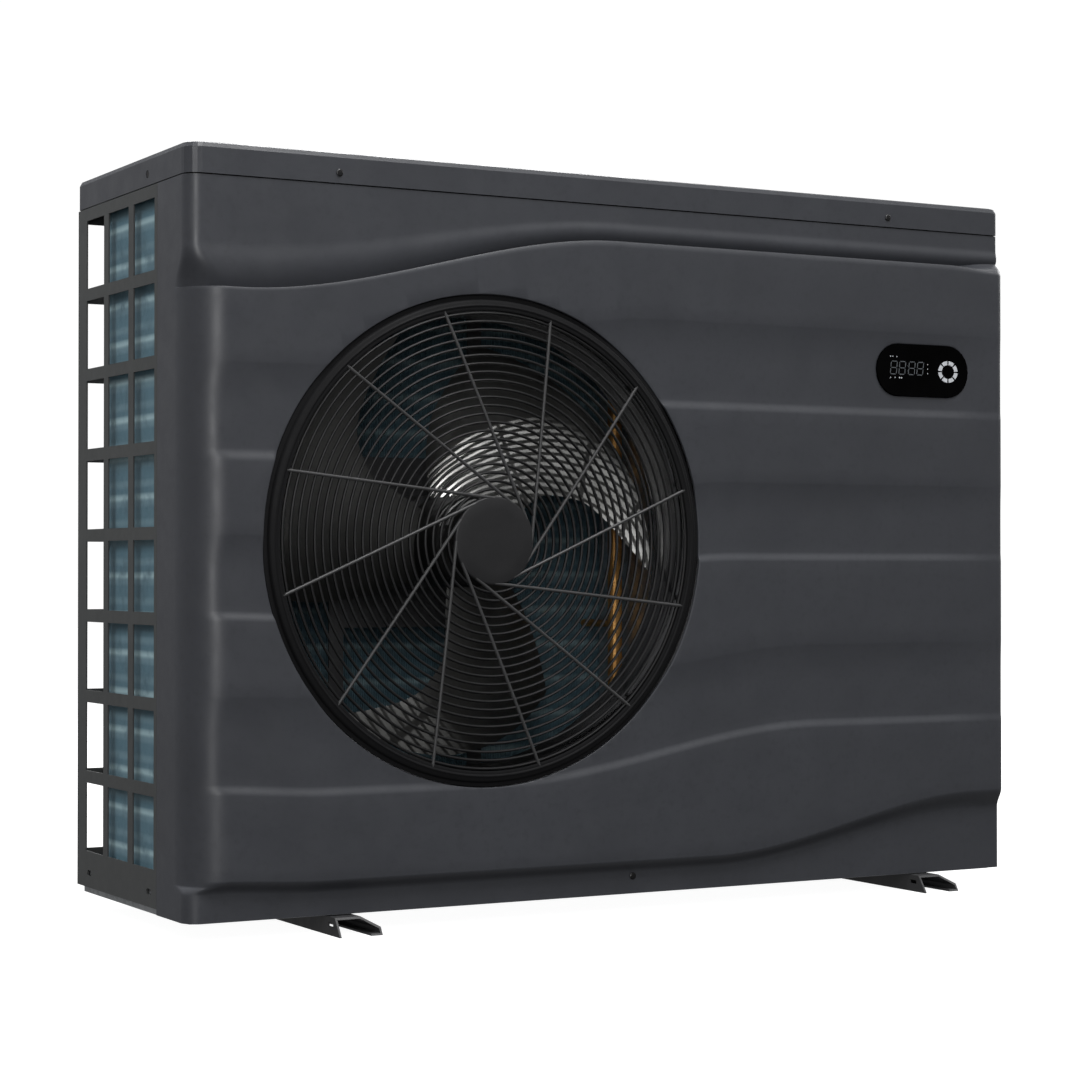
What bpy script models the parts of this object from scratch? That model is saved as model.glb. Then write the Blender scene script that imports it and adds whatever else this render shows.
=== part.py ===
"""Side-discharge pool heat pump, built as an assembly of separate pieces.

Metres, +Z up. X runs along the width with the fan on the -X side, -Y is the front,
and the origin lies on the floor below the middle of the casing.
"""
from math import acos, cos, pi, radians, sin

import bmesh
import bpy
from mathutils import Vector

# ---- Casing ----
WIDTH = 0.954
DEPTH = 0.306
TOP = 0.748
FOOT_HEIGHT = 0.018
FOOT_LENGTH = 0.359
GAP = 0.0003
RUNNING = 0.0001
SHEET = 0.0015
SHELL = 0.0025
LID_SEAM = 0.7175
SEAM_GAP = 0.001
PANEL_BOTTOM = 0.0245
RETURN_Y = -0.0755
PARTITION_X = 0.112
HALF = WIDTH / 2
FRONT = -DEPTH / 2
REAR = DEPTH / 2
PANEL_TOP = LID_SEAM - SEAM_GAP
PAN_FLOOR = FOOT_HEIGHT + GAP + SHEET
PAN_RIM = 0.046
DRAIN = (-0.100, 0.060)

# ---- Front shell relief ----
# Each line is (height at the left, height at the right, start of its climb, end of its climb).
BODY_BULGE = 0.012
RECESS = 0.003
CORNER_RADIUS = 0.015
CORNER_GROWTH = 0.010
TIGHT_CORNER = 0.005
STEP_LINE = (0.612, 0.680, -0.427, -0.017)
BANDS = (
    ((0.543, 0.604, -0.370, 0.030), (0.4615, 0.522, -0.370, 0.030), (0.4485, 0.511, -0.370, 0.030)),
    ((0.381, 0.439, -0.260, 0.120), (0.307, 0.366, -0.260, 0.120), (0.2965, 0.356, -0.260, 0.120)),
    ((0.2275, 0.270, -0.152, 0.222), (0.1425, 0.191, -0.152, 0.222), (0.132, 0.181, -0.152, 0.222)),
)
BOTTOM_LINE = (0.052, 0.105, 0.098, 0.436)

# ---- Windows of the side and rear panels ----
WINDOW = (0.0577, 0.0695)
WINDOW_PITCH = (0.0718, 0.0819)
WINDOW_ROWS = 8
WINDOW_BOTTOM = 0.0611
SIDE_WINDOW_Y = (-0.0675, 0.0043, 0.0754)
SIDE_WINDOW_WIDTHS = (0.0577, 0.0577, 0.0520)
REAR_WINDOW_X = -0.468
REAR_COLUMNS = 8
SLOT_Y = (-0.054, 0.116)
SLOT_Z = 0.039
SLOT_SIZE = (0.013, 0.006)

# ---- Wiring cover on the right side ----
GRIP_LOW = (-0.030, 0.520)
GRIP_HIGH = (0.090, 0.650)
GRIP_DEPTH = 0.024
COVER_WALL = 0.002

# ---- Fan ----
FAN_X = -0.163
FAN_Z = 0.376
FAN_HOLE = 0.2420
RIM_RADIUS = 0.2415
RIM_INNER = 0.2315
HUB_RADIUS = 0.0435
SPOKES = 12
SPOKE_TANGENT = 0.0415
SPOKE_ANGLE = radians(13.5)
GRILLE_RINGS = 5
GRILLE_DOME = 0.005
SHROUD_THROAT = 0.2235
SHROUD_FLANGE = 0.2560
BLADES = 3
BLADE_TIP = 0.2160
TRAILING_Y = (
    (0.042, -0.085), (0.140, -0.086), (0.160, -0.089), (0.180, -0.096), (0.200, -0.106), (0.216, -0.115),
)
TRAILING_ANGLE = (
    (0.042, 19), (0.070, 21.5), (0.096, 24.5), (0.112, 25.5), (0.132, 21), (0.155, 15.5), (0.170, 9), (0.190, 0),
    (0.216, -9),
)
LEADING_ANGLE = ((0.042, 112), (0.090, 96), (0.120, 90), (0.160, 82), (0.195, 76), (0.216, 73))
LEADING_Y = ((0.042, -0.066), (0.060, -0.058), (0.090, -0.040), (0.125, -0.026), (0.216, -0.012))
SHAFT_RADIUS = 0.006
MOTOR_FRONT = -0.052
BRACKET_Y = 0.026
BRACKET_HALF = 0.0885

# ---- Coil ----
COIL_LEFT = -0.468
COIL_REAR = 0.146
COIL_THICKNESS = 0.037
COIL_BEND = 0.066
COIL_TOP = 0.712
COIL_END = 0.128

# ---- Compressor side ----
HEADER = (0.099, 0.040)
HEADER_RADIUS = 0.008
FEEDER_Z = (0.130, 0.288, 0.446, 0.604)
FEEDER_RADIUS = 0.004
GAS_Z = 0.540
LIQUID_Z = 0.110
GAS_RADIUS = 0.007
LIQUID_RADIUS = 0.005
COMPRESSOR = (0.215, -0.045)
ACCUMULATOR = (0.312, -0.088)
EXCHANGER = (0.372, 0.014)
EXCHANGER_TOP = 0.500
EXPANSION = (0.290, 0.105)
EXPANSION_BOTTOM = 0.300
VALVE_X = 0.215
VALVE_Y = 0.055
VALVE_Z = 0.440
UNION_X = 0.372
INLET_Z = 0.150
OUTLET_Z = 0.420
PIPE_OUTER = 0.0300
PIPE_INNER = 0.0240
TAIL_OUTER = 0.0262
TAIL_INNER = 0.0215
NUT_RADIUS = 0.0370
UNION_HOLE = 0.0400
SWITCH_Y = 0.112
SWITCH_HOLE = 0.0090
PIVOT_DROP = 0.0045
PADDLE_LENGTH = 0.030
PIN_RADIUS = 0.0010
GLAND = (0.420, 0.600)

# ---- Touch panel ----
PANEL_CENTRE = (0.366, 0.5627)
PANEL_SIZE = (0.123, 0.0564)

# ---- Screws ----
HEAD_RADIUS = 0.0036
LID_SCREW_X = (-0.322, 0.327)
LID_SCREW_Z = 0.7275
BASE_SCREW = (0.005, 0.0365)
LID_SIDE_SCREW = (-0.048, 0.7285)
SIDE_SCREWS = (("top", -0.086, 0.692), ("middle", -0.085, 0.379), ("bottom", -0.088, 0.066))
COUNTERBORE = 0.0013


# ---- Tools ----
def clear_scene():
    for old in list(bpy.data.objects):
        bpy.data.objects.remove(old, do_unlink=True)


def material(name, colour, roughness, metallic=0.0):
    made = bpy.data.materials.new(name)
    made.use_nodes = True
    shader = made.node_tree.nodes["Principled BSDF"]
    shader.inputs["Base Color"].default_value = (*colour, 1.0)
    shader.inputs["Roughness"].default_value = roughness
    shader.inputs["Metallic"].default_value = metallic
    return made


def finish(name, bm, look, smooth=None):
    """Turn a bmesh into a named object; smooth is the sharp-edge angle in degrees."""
    bmesh.ops.recalc_face_normals(bm, faces=bm.faces[:])
    mesh = bpy.data.meshes.new(name)
    bm.to_mesh(mesh)
    bm.free()
    if smooth is not None:
        mesh.shade_smooth()
        mesh.set_sharp_from_angle(angle=radians(smooth))
    made = bpy.data.objects.new(name, mesh)
    bpy.context.scene.collection.objects.link(made)
    mesh.materials.append(look)
    return made


def guide(made):
    """Mark an object as a cutter or joining guide that isn't a piece itself."""
    made.hide_render = True
    made.display_type = "WIRE"
    return made


def combine(piece, other, operation):
    step = piece.modifiers.new(operation.lower(), "BOOLEAN")
    step.operation = operation
    step.solver = "EXACT"
    step.object = guide(other)
    return piece


def cut(piece, cutter):
    return combine(piece, cutter, "DIFFERENCE")


def join(piece, addition):
    return combine(piece, addition, "UNION")


def loft(name, loops, look, smooth=None, closed=False):
    """Skin a stack of equal point loops; the ends are capped unless the stack is closed."""
    bm = bmesh.new()
    rings = [[bm.verts.new(point) for point in loop] for loop in loops]
    count = len(rings[0])
    stack = list(zip(rings, rings[1:] + rings[:1])) if closed else list(zip(rings, rings[1:]))
    for low, high in stack:
        for i in range(count):
            j = (i + 1) % count
            bm.faces.new((low[i], low[j], high[j], high[i]))
    if not closed:
        bm.faces.new(rings[0])
        bm.faces.new(rings[-1])
    return finish(name, bm, look, smooth)


def box(name, low, high, look):
    corners = [(low[0], low[1]), (high[0], low[1]), (high[0], high[1]), (low[0], high[1])]
    return loft(name, [[(x, y, z) for x, y in corners] for z in (low[2], high[2])], look)


def turned(name, profile, centre, axis, look, steps=24, closed=False, smooth=35):
    """Revolve (radius, distance along the axis) points; closed profiles make a ring."""
    turn = Vector((0, 0, 1)).rotation_difference(Vector(axis)).to_matrix()
    bm = bmesh.new()
    rings = []
    for radius, along in profile:
        if radius == 0:
            rings.append([bm.verts.new(turn @ Vector((0, 0, along)) + Vector(centre))])
            continue
        angles = [2 * pi * k / steps for k in range(steps)]
        spots = [Vector((radius * cos(a), radius * sin(a), along)) for a in angles]
        rings.append([bm.verts.new(turn @ spot + Vector(centre)) for spot in spots])
    pairs = list(zip(rings, rings[1:]))
    if closed:
        pairs.append((rings[-1], rings[0]))
    for low, high in pairs:
        for k in range(steps):
            n = (k + 1) % steps
            corners = [low[k % len(low)], low[n % len(low)], high[n % len(high)], high[k % len(high)]]
            bm.faces.new(dict.fromkeys(corners))
    if not closed:
        for ring in (rings[0], rings[-1]):
            if len(ring) > 1:
                bm.faces.new(ring)
    return finish(name, bm, look, smooth)


def ring_profile(inner, outer, low, high):
    return [(inner, low), (outer, low), (outer, high), (inner, high)]


def rod(name, start, end, radius, look, steps=24):
    """A plain round bar between two points."""
    along = Vector(end) - Vector(start)
    return turned(name, [(radius, 0), (radius, along.length)], start, along.normalized(), look, steps)


def rounded_route(points, bend, steps=3):
    """Replace each corner of a route by a circular bend."""
    route = [Vector(points[0])]
    for before, corner, after in zip(points, points[1:], points[2:]):
        corner = Vector(corner)
        inward = (Vector(before) - corner).normalized()
        onward = (Vector(after) - corner).normalized()
        half = inward.angle(onward) / 2
        reach = bend * cos(half) / sin(half)
        centre = corner + (inward + onward).normalized() * (bend / sin(half))
        first = (corner + inward * reach - centre).normalized()
        last = (corner + onward * reach - centre).normalized()
        for k in range(steps + 1):
            route.append(centre + bend * first.slerp(last, k / steps))
    route.append(Vector(points[-1]))
    return route


def pipe(name, points, radius, look, bend=0.02, sides=8):
    """A bent tube, drawn as a solid of its outer shape."""
    route = rounded_route(points, bend)
    ahead = [(b - a).normalized() for a, b in zip(route, route[1:])]
    tangents = [ahead[0]] + [(a + b).normalized() for a, b in zip(ahead, ahead[1:])] + [ahead[-1]]
    across = tangents[0].orthogonal().normalized()
    loops = []
    for k, (spot, tangent) in enumerate(zip(route, tangents)):
        if k:
            across = tangents[k - 1].rotation_difference(tangent) @ across
        other = tangent.cross(across)
        angles = [2 * pi * i / sides for i in range(sides)]
        loops.append([spot + across * (radius * cos(a)) + other * (radius * sin(a)) for a in angles])
    return loft(name, loops, look, smooth=40)


def perforated(name, across, up, is_open, place, thickness, look):
    """A sheet with rectangular windows: cell edges in two directions, and which cells are open."""
    bm = bmesh.new()
    spots = {}

    def vertex(i, j, side):
        if (i, j, side) not in spots:
            spots[i, j, side] = bm.verts.new(place(across[i], up[j], side * thickness))
        return spots[i, j, side]

    columns = len(across) - 1
    rows = len(up) - 1
    solid = {(i, j) for i in range(columns) for j in range(rows) if not is_open(i, j)}
    for i, j in solid:
        corners = [(i, j), (i + 1, j), (i + 1, j + 1), (i, j + 1)]
        bm.faces.new([vertex(a, b, 0) for a, b in corners])
        bm.faces.new([vertex(a, b, 1) for a, b in reversed(corners)])
        neighbours = [(i, j - 1), (i + 1, j), (i, j + 1), (i - 1, j)]
        for k, neighbour in enumerate(neighbours):
            if neighbour not in solid:
                a, b = corners[k], corners[(k + 1) % 4]
                bm.faces.new([vertex(*b, 0), vertex(*a, 0), vertex(*a, 1), vertex(*b, 1)])
    return finish(name, bm, look)


def window_edges(start, sizes, starts, end):
    """Cell edges of a row of windows between two panel edges."""
    edges = [start]
    for low, size in zip(starts, sizes):
        edges += [low, low + size]
    return edges + [end]


def rounded_rectangle(low, high, radius, steps=3):
    """Corner points of a rounded rectangle in a plane, anticlockwise."""
    centres = [(high[0] - radius, high[1] - radius, 0), (low[0] + radius, high[1] - radius, 1),
               (low[0] + radius, low[1] + radius, 2), (high[0] - radius, low[1] + radius, 3)]
    outline = []
    for x, y, quarter in centres:
        for k in range(steps + 1):
            angle = (quarter + k / steps) * pi / 2
            outline.append((x + radius * cos(angle), y + radius * sin(angle)))
    return outline


# ---- Casing pieces ----
def ease(x, start, end):
    """Smooth step from 0 at start to 1 at end."""
    t = min(max((x - start) / (end - start), 0.0), 1.0)
    return t * t * (3.0 - 2.0 * t)


def line_height(line, x):
    left, right, start, end = line
    return left + (right - left) * ease(x, start, end)


def relief_rows(x):
    """(height, how far the front stands proud) down the shell at one place along the width."""
    step = line_height(STEP_LINE, x)
    roll = 0.022 - 0.012 * ease(x, STEP_LINE[2], STEP_LINE[3])
    rows = [(PANEL_TOP, -0.001), (step + 1.6 * roll, -0.0008), (step + roll, 0.0005),
            (step + 0.003, -0.002), (step - 0.006, BODY_BULGE)]
    for edge, sill, foot in BANDS:
        top = line_height(edge, x)
        low = line_height(sill, x)
        rows += [(top, BODY_BULGE), (top - 0.3 * (top - low), BODY_BULGE - 0.66 * RECESS),
                 (low, BODY_BULGE - RECESS), (line_height(foot, x), BODY_BULGE)]
    bottom = line_height(BOTTOM_LINE, x)
    reach = 0.0115 + 0.0075 * ease(x, BOTTOM_LINE[2], BOTTOM_LINE[3])
    rows += [(bottom + 0.002, BODY_BULGE), (bottom - 0.42 * reach, 0.5 * BODY_BULGE),
             (bottom - reach, 0.0), (FOOT_HEIGHT + 0.001, 0.0)]
    return rows


def shell_outline(proud, inset):
    """Plan points of the front shell, from the left return round the front to the right one."""
    half = HALF - inset
    front = FRONT - proud + inset

    def side(radius):
        """Return and corner at the right; the left one is its mirror image with a wider radius."""
        arc = [(half - radius + radius * cos(a), front + radius - radius * sin(a))
               for a in (0, pi / 8, pi / 4, 3 * pi / 8, pi / 2)]
        return [(half, RETURN_Y), (half, (RETURN_Y + front + radius) / 2)] + arc
    right = side(TIGHT_CORNER - inset)
    left = side(CORNER_RADIUS + CORNER_GROWTH * max(proud, 0.0) / BODY_BULGE - inset)
    start, end = right[-1][0], -left[-1][0]
    flat_steps = 16
    flat = [(start + (end - start) * k / flat_steps, front) for k in range(1, flat_steps)]
    return list(reversed(right + flat + [(-x, y) for x, y in reversed(left)]))


def front_panel(look):
    """Moulded front shell: outer relief and inner wall, joined along the rim."""
    columns = [x for x, y in shell_outline(0.0, 0.0)]
    profiles = [relief_rows(x) for x in columns]
    row_count = len(profiles[0])
    bm = bmesh.new()
    layers = []
    for inset in (0.0, SHELL):
        grid = []
        for row in range(row_count):
            line = []
            for column, profile in enumerate(profiles):
                height, proud = profile[row]
                x, y = shell_outline(proud, inset)[column]
                line.append(bm.verts.new((x, y, height)))
            grid.append(line)
        layers.append(grid)
    last = len(columns) - 1
    for row in range(row_count - 1):
        for column in range(last):
            for grid in layers:
                quad = (grid[row][column], grid[row][column + 1],
                        grid[row + 1][column + 1], grid[row + 1][column])
                bm.faces.new(quad)
        for column in (0, last):
            bm.faces.new((layers[0][row][column], layers[0][row + 1][column],
                          layers[1][row + 1][column], layers[1][row][column]))
    for row in (0, row_count - 1):
        for column in range(last):
            bm.faces.new((layers[0][row][column], layers[0][row][column + 1],
                          layers[1][row][column + 1], layers[1][row][column]))
    shell = finish("front_panel", bm, look, smooth=25)
    cut(shell, rod("fan_hole", (FAN_X, FRONT - 0.05, FAN_Z), (FAN_X, FRONT + 0.05, FAN_Z),
                   FAN_HOLE, look, steps=64))
    cut(shell, pill("display_hole", FRONT - 0.05, FRONT + 0.05, 0.0, look))
    for name, y, z in SIDE_SCREWS:
        cut(shell, counterbore(name + "_counterbore", y, z, look))
    return shell


def pill(name, front, back, inset, look):
    """A prism with the round-ended outline of the touch panel."""
    half_x = PANEL_SIZE[0] / 2 - inset
    half_z = PANEL_SIZE[1] / 2 - inset
    low = (PANEL_CENTRE[0] - half_x, PANEL_CENTRE[1] - half_z)
    high = (PANEL_CENTRE[0] + half_x, PANEL_CENTRE[1] + half_z)
    outline = rounded_rectangle(low, high, half_z * 0.98, steps=6)
    return loft(name, [[(x, y, z) for x, z in outline] for y in (front, back)], look, smooth=40)


def counterbore(name, y, z, look):
    """Cutter for the shallow seat of a screw head in the left side."""
    return rod(name, (-HALF - 0.01, y, z), (-HALF + COUNTERBORE, y, z), HEAD_RADIUS + GAP, look, 16)


def top_cover(look):
    """Moulded lid: a shallow pan turned upside down, with a rolled top edge.

    Its front left corner is the wide one; the other three are tight.
    """
    def level(height, inset, radius, tight_radius):
        low = (-HALF + inset, FRONT + inset)
        high = (HALF - inset, REAR - inset)
        wide = rounded_rectangle(low, high, radius, 5)
        tight = rounded_rectangle(low, high, tight_radius, 5)
        return [(x, y, height) for x, y in tight[:12] + wide[12:18] + tight[18:]]
    lid = loft("top_cover", [
        level(TOP - 0.004, SHELL, 0.0125, 0.002), level(LID_SEAM, SHELL, 0.0125, 0.002),
        level(LID_SEAM, 0.0, 0.015, 0.004), level(TOP - 0.006, 0.0, 0.015, 0.004),
        level(TOP - 0.0018, 0.0018, 0.014, 0.004), level(TOP - 0.0006, 0.005, 0.012, 0.004),
        level(TOP - 0.0006, 0.030, 0.010, 0.006), level(TOP, 0.034, 0.010, 0.006)], look, smooth=30)
    return cut(lid, counterbore("lid_counterbore", *LID_SIDE_SCREW, look))


def base_pan(look):
    """Sheet tray that carries everything, with a hole for the drain."""
    half = HALF - SHELL - GAP
    front = FRONT + SHELL + GAP
    back = REAR - SHEET - GAP
    floor = FOOT_HEIGHT + GAP

    def level(height, inset):
        outline = rounded_rectangle((-half + inset, front + inset), (half - inset, back - inset), 0.012, 2)
        return [(x, y, height) for x, y in outline]
    tray = loft("base_pan", [level(PAN_FLOOR, SHEET), level(PAN_RIM, SHEET), level(PAN_RIM, 0.0),
                             level(floor, 0.0)], look)
    return cut(tray, rod("drain_hole", (*DRAIN, 0.0), (*DRAIN, 0.05), 0.0108, look))


def foot_rail(name, x, look):
    """Pressed rail with a raised web, a lower bolting flange and slanted ends."""
    thick = 0.002
    web = 0.0268
    edge = 0.0448
    toe = 0.012
    top = FOOT_HEIGHT - GAP
    outer = [(0, 0), (0, top), (web, top), (edge, 0.0075), (edge, 0)]
    inner = [(edge - toe, 0), (edge - toe, thick), (edge - thick, thick), (edge - thick, 0.0060),
             (web - 0.001, top - thick), (thick, top - thick), (thick, 0)]
    section = outer + inner
    ends = [(-FOOT_LENGTH / 2, 0.012), (FOOT_LENGTH / 2, -0.012)]
    loops = [[(x + a, y + lean * b / top, b) for a, b in section] for y, lean in ends]
    rail = loft(name, loops, look)
    for sign in (-1, 1):
        spot = sign * (FOOT_LENGTH / 2 - 0.022)
        cut(rail, box(name + "_slot_%d" % sign, (x - 0.01, spot - 0.006, 0.0085),
                      (x + 0.01, spot + 0.006, 0.0125), look))
    return rail


def window_rows():
    starts = [WINDOW_BOTTOM + k * WINDOW_PITCH[1] for k in range(WINDOW_ROWS)]
    return window_edges(PANEL_BOTTOM, [WINDOW[1]] * WINDOW_ROWS, starts, PANEL_TOP)


def is_window(i, j):
    return i % 2 == 1 and j % 2 == 1


def left_side_panel(look):
    across = window_edges(RETURN_Y + GAP, SIDE_WINDOW_WIDTHS, SIDE_WINDOW_Y, REAR - SHEET - GAP)
    panel = perforated("left_side_panel", across, window_rows(), is_window,
                       lambda y, z, deep: (-HALF + deep, y, z), SHEET, look)
    for k, y in enumerate(SLOT_Y):
        low = (y - SLOT_SIZE[0] / 2, SLOT_Z - SLOT_SIZE[1] / 2)
        high = (y + SLOT_SIZE[0] / 2, SLOT_Z + SLOT_SIZE[1] / 2)
        outline = rounded_rectangle(low, high, SLOT_SIZE[1] * 0.49, steps=3)
        cut(panel, loft("slot_%d" % k, [[(x, a, b) for a, b in outline] for x in (-HALF - 0.01, -HALF + 0.01)],
                        look))
    return panel


def rear_guard_panel(look):
    starts = [REAR_WINDOW_X + k * WINDOW_PITCH[0] for k in range(REAR_COLUMNS)]
    across = window_edges(-HALF, [WINDOW[0]] * REAR_COLUMNS, starts, PARTITION_X - GAP)
    return perforated("rear_guard_panel", across, window_rows(), is_window,
                      lambda x, z, deep: (x, REAR - deep, z), SHEET, look)


def rear_service_panel(look):
    panel = box("rear_service_panel", (PARTITION_X, REAR - SHEET, PANEL_BOTTOM), (HALF, REAR, PANEL_TOP), look)
    for name, z, x, radius in (("inlet_hole", INLET_Z, UNION_X, UNION_HOLE),
                               ("outlet_hole", OUTLET_Z, UNION_X, UNION_HOLE),
                               ("gland_hole", GLAND[1], GLAND[0], 0.0102)):
        cut(panel, rod(name, (x, REAR - 0.02, z), (x, REAR + 0.02, z), radius, look, steps=32))
    return panel


def right_side_panel(look):
    across = [RETURN_Y + GAP, GRIP_LOW[0], GRIP_HIGH[0], REAR - SHEET - GAP]
    up = [PANEL_BOTTOM, GRIP_LOW[1], GRIP_HIGH[1], PANEL_TOP]
    return perforated("right_side_panel", across, up, lambda i, j: (i, j) == (1, 1),
                      lambda y, z, deep: (HALF - deep, y, z), SHEET, look)


def terminal_cover(look):
    """Moulded cover of the wiring opening, with a sunken hand grip."""
    def level(x, inset, radius=0.010):
        outline = rounded_rectangle([GRIP_LOW[0] + inset, GRIP_LOW[1] + inset],
                                    [GRIP_HIGH[0] - inset, GRIP_HIGH[1] - inset], radius, 3)
        return [(x, y, z) for y, z in outline]
    face = HALF - 0.0004
    back = face - COVER_WALL
    cup = face - GRIP_DEPTH
    return loft("terminal_cover", [
        level(cup, 0.016), level(face, 0.013), level(face, GAP), level(back, GAP),
        level(back, 0.011), level(cup - COVER_WALL, 0.014)], look, smooth=30)


def partition_plate(look):
    plate = box("partition_plate", (PARTITION_X, FRONT + 0.006, PAN_FLOOR + GAP),
                (PARTITION_X + SHEET, 0.096, 0.715), look)
    for name, z, radius in (("gas_hole", GAS_Z, GAS_RADIUS), ("liquid_hole", LIQUID_Z, LIQUID_RADIUS)):
        cut(plate, rod(name, (PARTITION_X - 0.01, HEADER[1], z), (PARTITION_X + 0.01, HEADER[1], z),
                       radius + 0.002, look, 16))
    return plate


# ---- Fan pieces ----
def spoke_angle(radius):
    """Turn of a straight spoke that leaves the hub along its tangent."""
    return SPOKE_ANGLE - acos(SPOKE_TANGENT / RIM_INNER) + acos(SPOKE_TANGENT / radius)


def fan_grille(look):
    """Rim, rings, tangent spokes and flat hub in one moulding, slightly domed."""
    field = RIM_INNER - HUB_RADIUS
    pitch = field / (GRILLE_RINGS + 0.5)
    bar = 0.0035
    radii = [0.012, HUB_RADIUS]
    for k in range(GRILLE_RINGS):
        centre = HUB_RADIUS + (k + 1) * pitch
        radii += [centre - bar / 2, centre + bar / 2]
    radii += [RIM_INNER, RIM_RADIUS]
    spoke_half = 0.0032
    steps = SPOKES * 3
    bm = bmesh.new()
    front_y = FRONT - BODY_BULGE - 0.0015
    grids = []
    for side in (0, 1):
        grid = []
        for radius in radii:
            dome = GRILLE_DOME * (1 - (radius / RIM_RADIUS) ** 2)
            y = front_y - dome + (0.004 if side else 0.0)
            if radius > RIM_INNER - 0.001:
                y = -0.1595 if side else front_y - 0.001
            turn = spoke_angle(max(radius, HUB_RADIUS))
            ring = []
            for k in range(steps):
                spoke, part = divmod(k, 3)
                width = min(spoke_half / radius, radians(9))
                angle = turn + 2 * pi * spoke / SPOKES + (-width, width, pi / SPOKES)[part]
                ring.append(bm.verts.new((FAN_X + radius * cos(angle), y, FAN_Z + radius * sin(angle))))
            grid.append(ring)
        grids.append(grid)
    bands = len(radii) - 1
    open_bands = {band for band in range(1, bands - 1) if band % 2 == 1}
    solid = {(band, k) for band in range(bands) for k in range(steps)
             if not (band in open_bands and k % 3)}
    for band, k in solid:
        n = (k + 1) % steps
        corners = [(band, k), (band, n), (band + 1, n), (band + 1, k)]
        bm.faces.new([grids[0][a][b] for a, b in corners])
        bm.faces.new([grids[1][a][b] for a, b in reversed(corners)])
        neighbours = [(band - 1, k), (band, n), (band + 1, k), (band, (k - 1) % steps)]
        for side, neighbour in enumerate(neighbours):
            if neighbour not in solid and neighbour[0] >= 0:
                a, b = corners[side], corners[(side + 1) % 4]
                bm.faces.new([grids[0][b[0]][b[1]], grids[0][a[0]][a[1]],
                              grids[1][a[0]][a[1]], grids[1][b[0]][b[1]]])
    for grid in grids:
        bm.faces.new(grid[0])
    return finish("fan_grille", bm, look)


def fan_shroud(look):
    """Bell-mouth ring behind the front shell."""
    profile = [(SHROUD_FLANGE, -0.1588), (SHROUD_FLANGE, -0.1563), (0.2330, -0.1563), (0.2275, -0.1500),
               (0.2262, -0.1050), (SHROUD_THROAT, -0.1050), (SHROUD_THROAT, -0.1480), (0.2300, -0.1588)]
    return turned("fan_shroud", profile, (FAN_X, 0, FAN_Z), (0, 1, 0), look, steps=36, closed=True)


def motor_bracket(look):
    """Square sheet plate behind the motor, on two posts from the base pan to the lid."""
    low = FAN_X - BRACKET_HALF
    high = FAN_X + BRACKET_HALF
    across = [low, low + 0.016, high - 0.016, high]
    up = [PAN_FLOOR + GAP, 0.045, FAN_Z - BRACKET_HALF, FAN_Z + BRACKET_HALF, 0.690, 0.714]
    frame = perforated("motor_bracket", across, up, lambda i, j: i == 1 and j in (1, 3),
                       lambda x, z, deep: (x, BRACKET_Y + deep, z), 0.003, look)
    return cut(frame, rod("boss_hole", (FAN_X, 0.0, FAN_Z), (FAN_X, 0.05, FAN_Z), 0.022, look, 24))


def fan_motor(look):
    """Round motor: front bearing boss with a blind bore, ribbed body and rear boss."""
    bore = SHAFT_RADIUS + RUNNING
    profile = [(0, 0.018), (bore, 0.018), (bore, 0), (0.014, 0), (0.016, 0.008), (0.040, 0.010),
               (0.048, 0.016), (0.048, 0.074), (0.043, 0.0777), (0.0215, 0.0777), (0.0215, 0.086),
               (0, 0.086)]
    return turned("fan_motor", profile, (FAN_X, MOTOR_FRONT, FAN_Z), (0, 1, 0), look)


def motor_shaft(look):
    tip = -0.1395
    inside = MOTOR_FRONT + 0.0175
    return rod("motor_shaft", (FAN_X, tip, FAN_Z), (FAN_X, inside, FAN_Z), SHAFT_RADIUS, look)


def along_table(table, radius):
    """Straight-line value between the (radius, value) entries of a table."""
    for (r0, v0), (r1, v1) in zip(table, table[1:]):
        if radius <= r1:
            return v0 + (v1 - v0) * (radius - r0) / (r1 - r0)
    return table[-1][1]


def blade(turn, look):
    """One swept blade: a curved sheet from its front trailing edge to its rear leading edge."""
    radii = (0.042, 0.065, 0.090, 0.112, 0.132, 0.155, 0.175, 0.195, BLADE_TIP)
    columns = 6
    bm = bmesh.new()
    layers = []
    for side in (0, 1):
        grid = []
        for radius in radii:
            start = radians(along_table(TRAILING_ANGLE, radius))
            end = radians(along_table(LEADING_ANGLE, radius))
            front = along_table(TRAILING_Y, radius)
            rear = along_table(LEADING_Y, radius)
            line = []
            for column in range(columns):
                chord = column / (columns - 1)
                angle = turn + start + (end - start) * chord
                camber = 0.010 * (1 - (2 * chord - 1) ** 2)
                y = front + (rear - front) * chord - camber + side * 0.0026
                line.append(bm.verts.new((FAN_X + radius * cos(angle), y, FAN_Z + radius * sin(angle))))
            grid.append(line)
        layers.append(grid)
    rows = len(radii)
    for row in range(rows - 1):
        for column in range(columns - 1):
            for grid in layers:
                bm.faces.new((grid[row][column], grid[row][column + 1],
                              grid[row + 1][column + 1], grid[row + 1][column]))
    rim = [(0, c) for c in range(columns)] + [(r, columns - 1) for r in range(1, rows)]
    rim += [(rows - 1, c) for c in range(columns - 2, -1, -1)] + [(r, 0) for r in range(rows - 2, 0, -1)]
    for (a, b), (c, d) in zip(rim, rim[1:] + rim[:1]):
        bm.faces.new((layers[0][a][b], layers[0][c][d], layers[1][c][d], layers[1][a][b]))
    return finish("blade", bm, look)


def fan_impeller(look):
    bore = SHAFT_RADIUS + GAP
    profile = [(bore, -0.1320), (0.038, -0.1320), (0.046, -0.1250), (0.046, -0.0600), (bore, -0.0600)]
    wheel = turned("fan_impeller", profile, (FAN_X, 0, FAN_Z), (0, 1, 0), look, closed=True)
    for k in range(BLADES):
        join(wheel, blade(2 * pi * k / BLADES, look))
    return wheel


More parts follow.
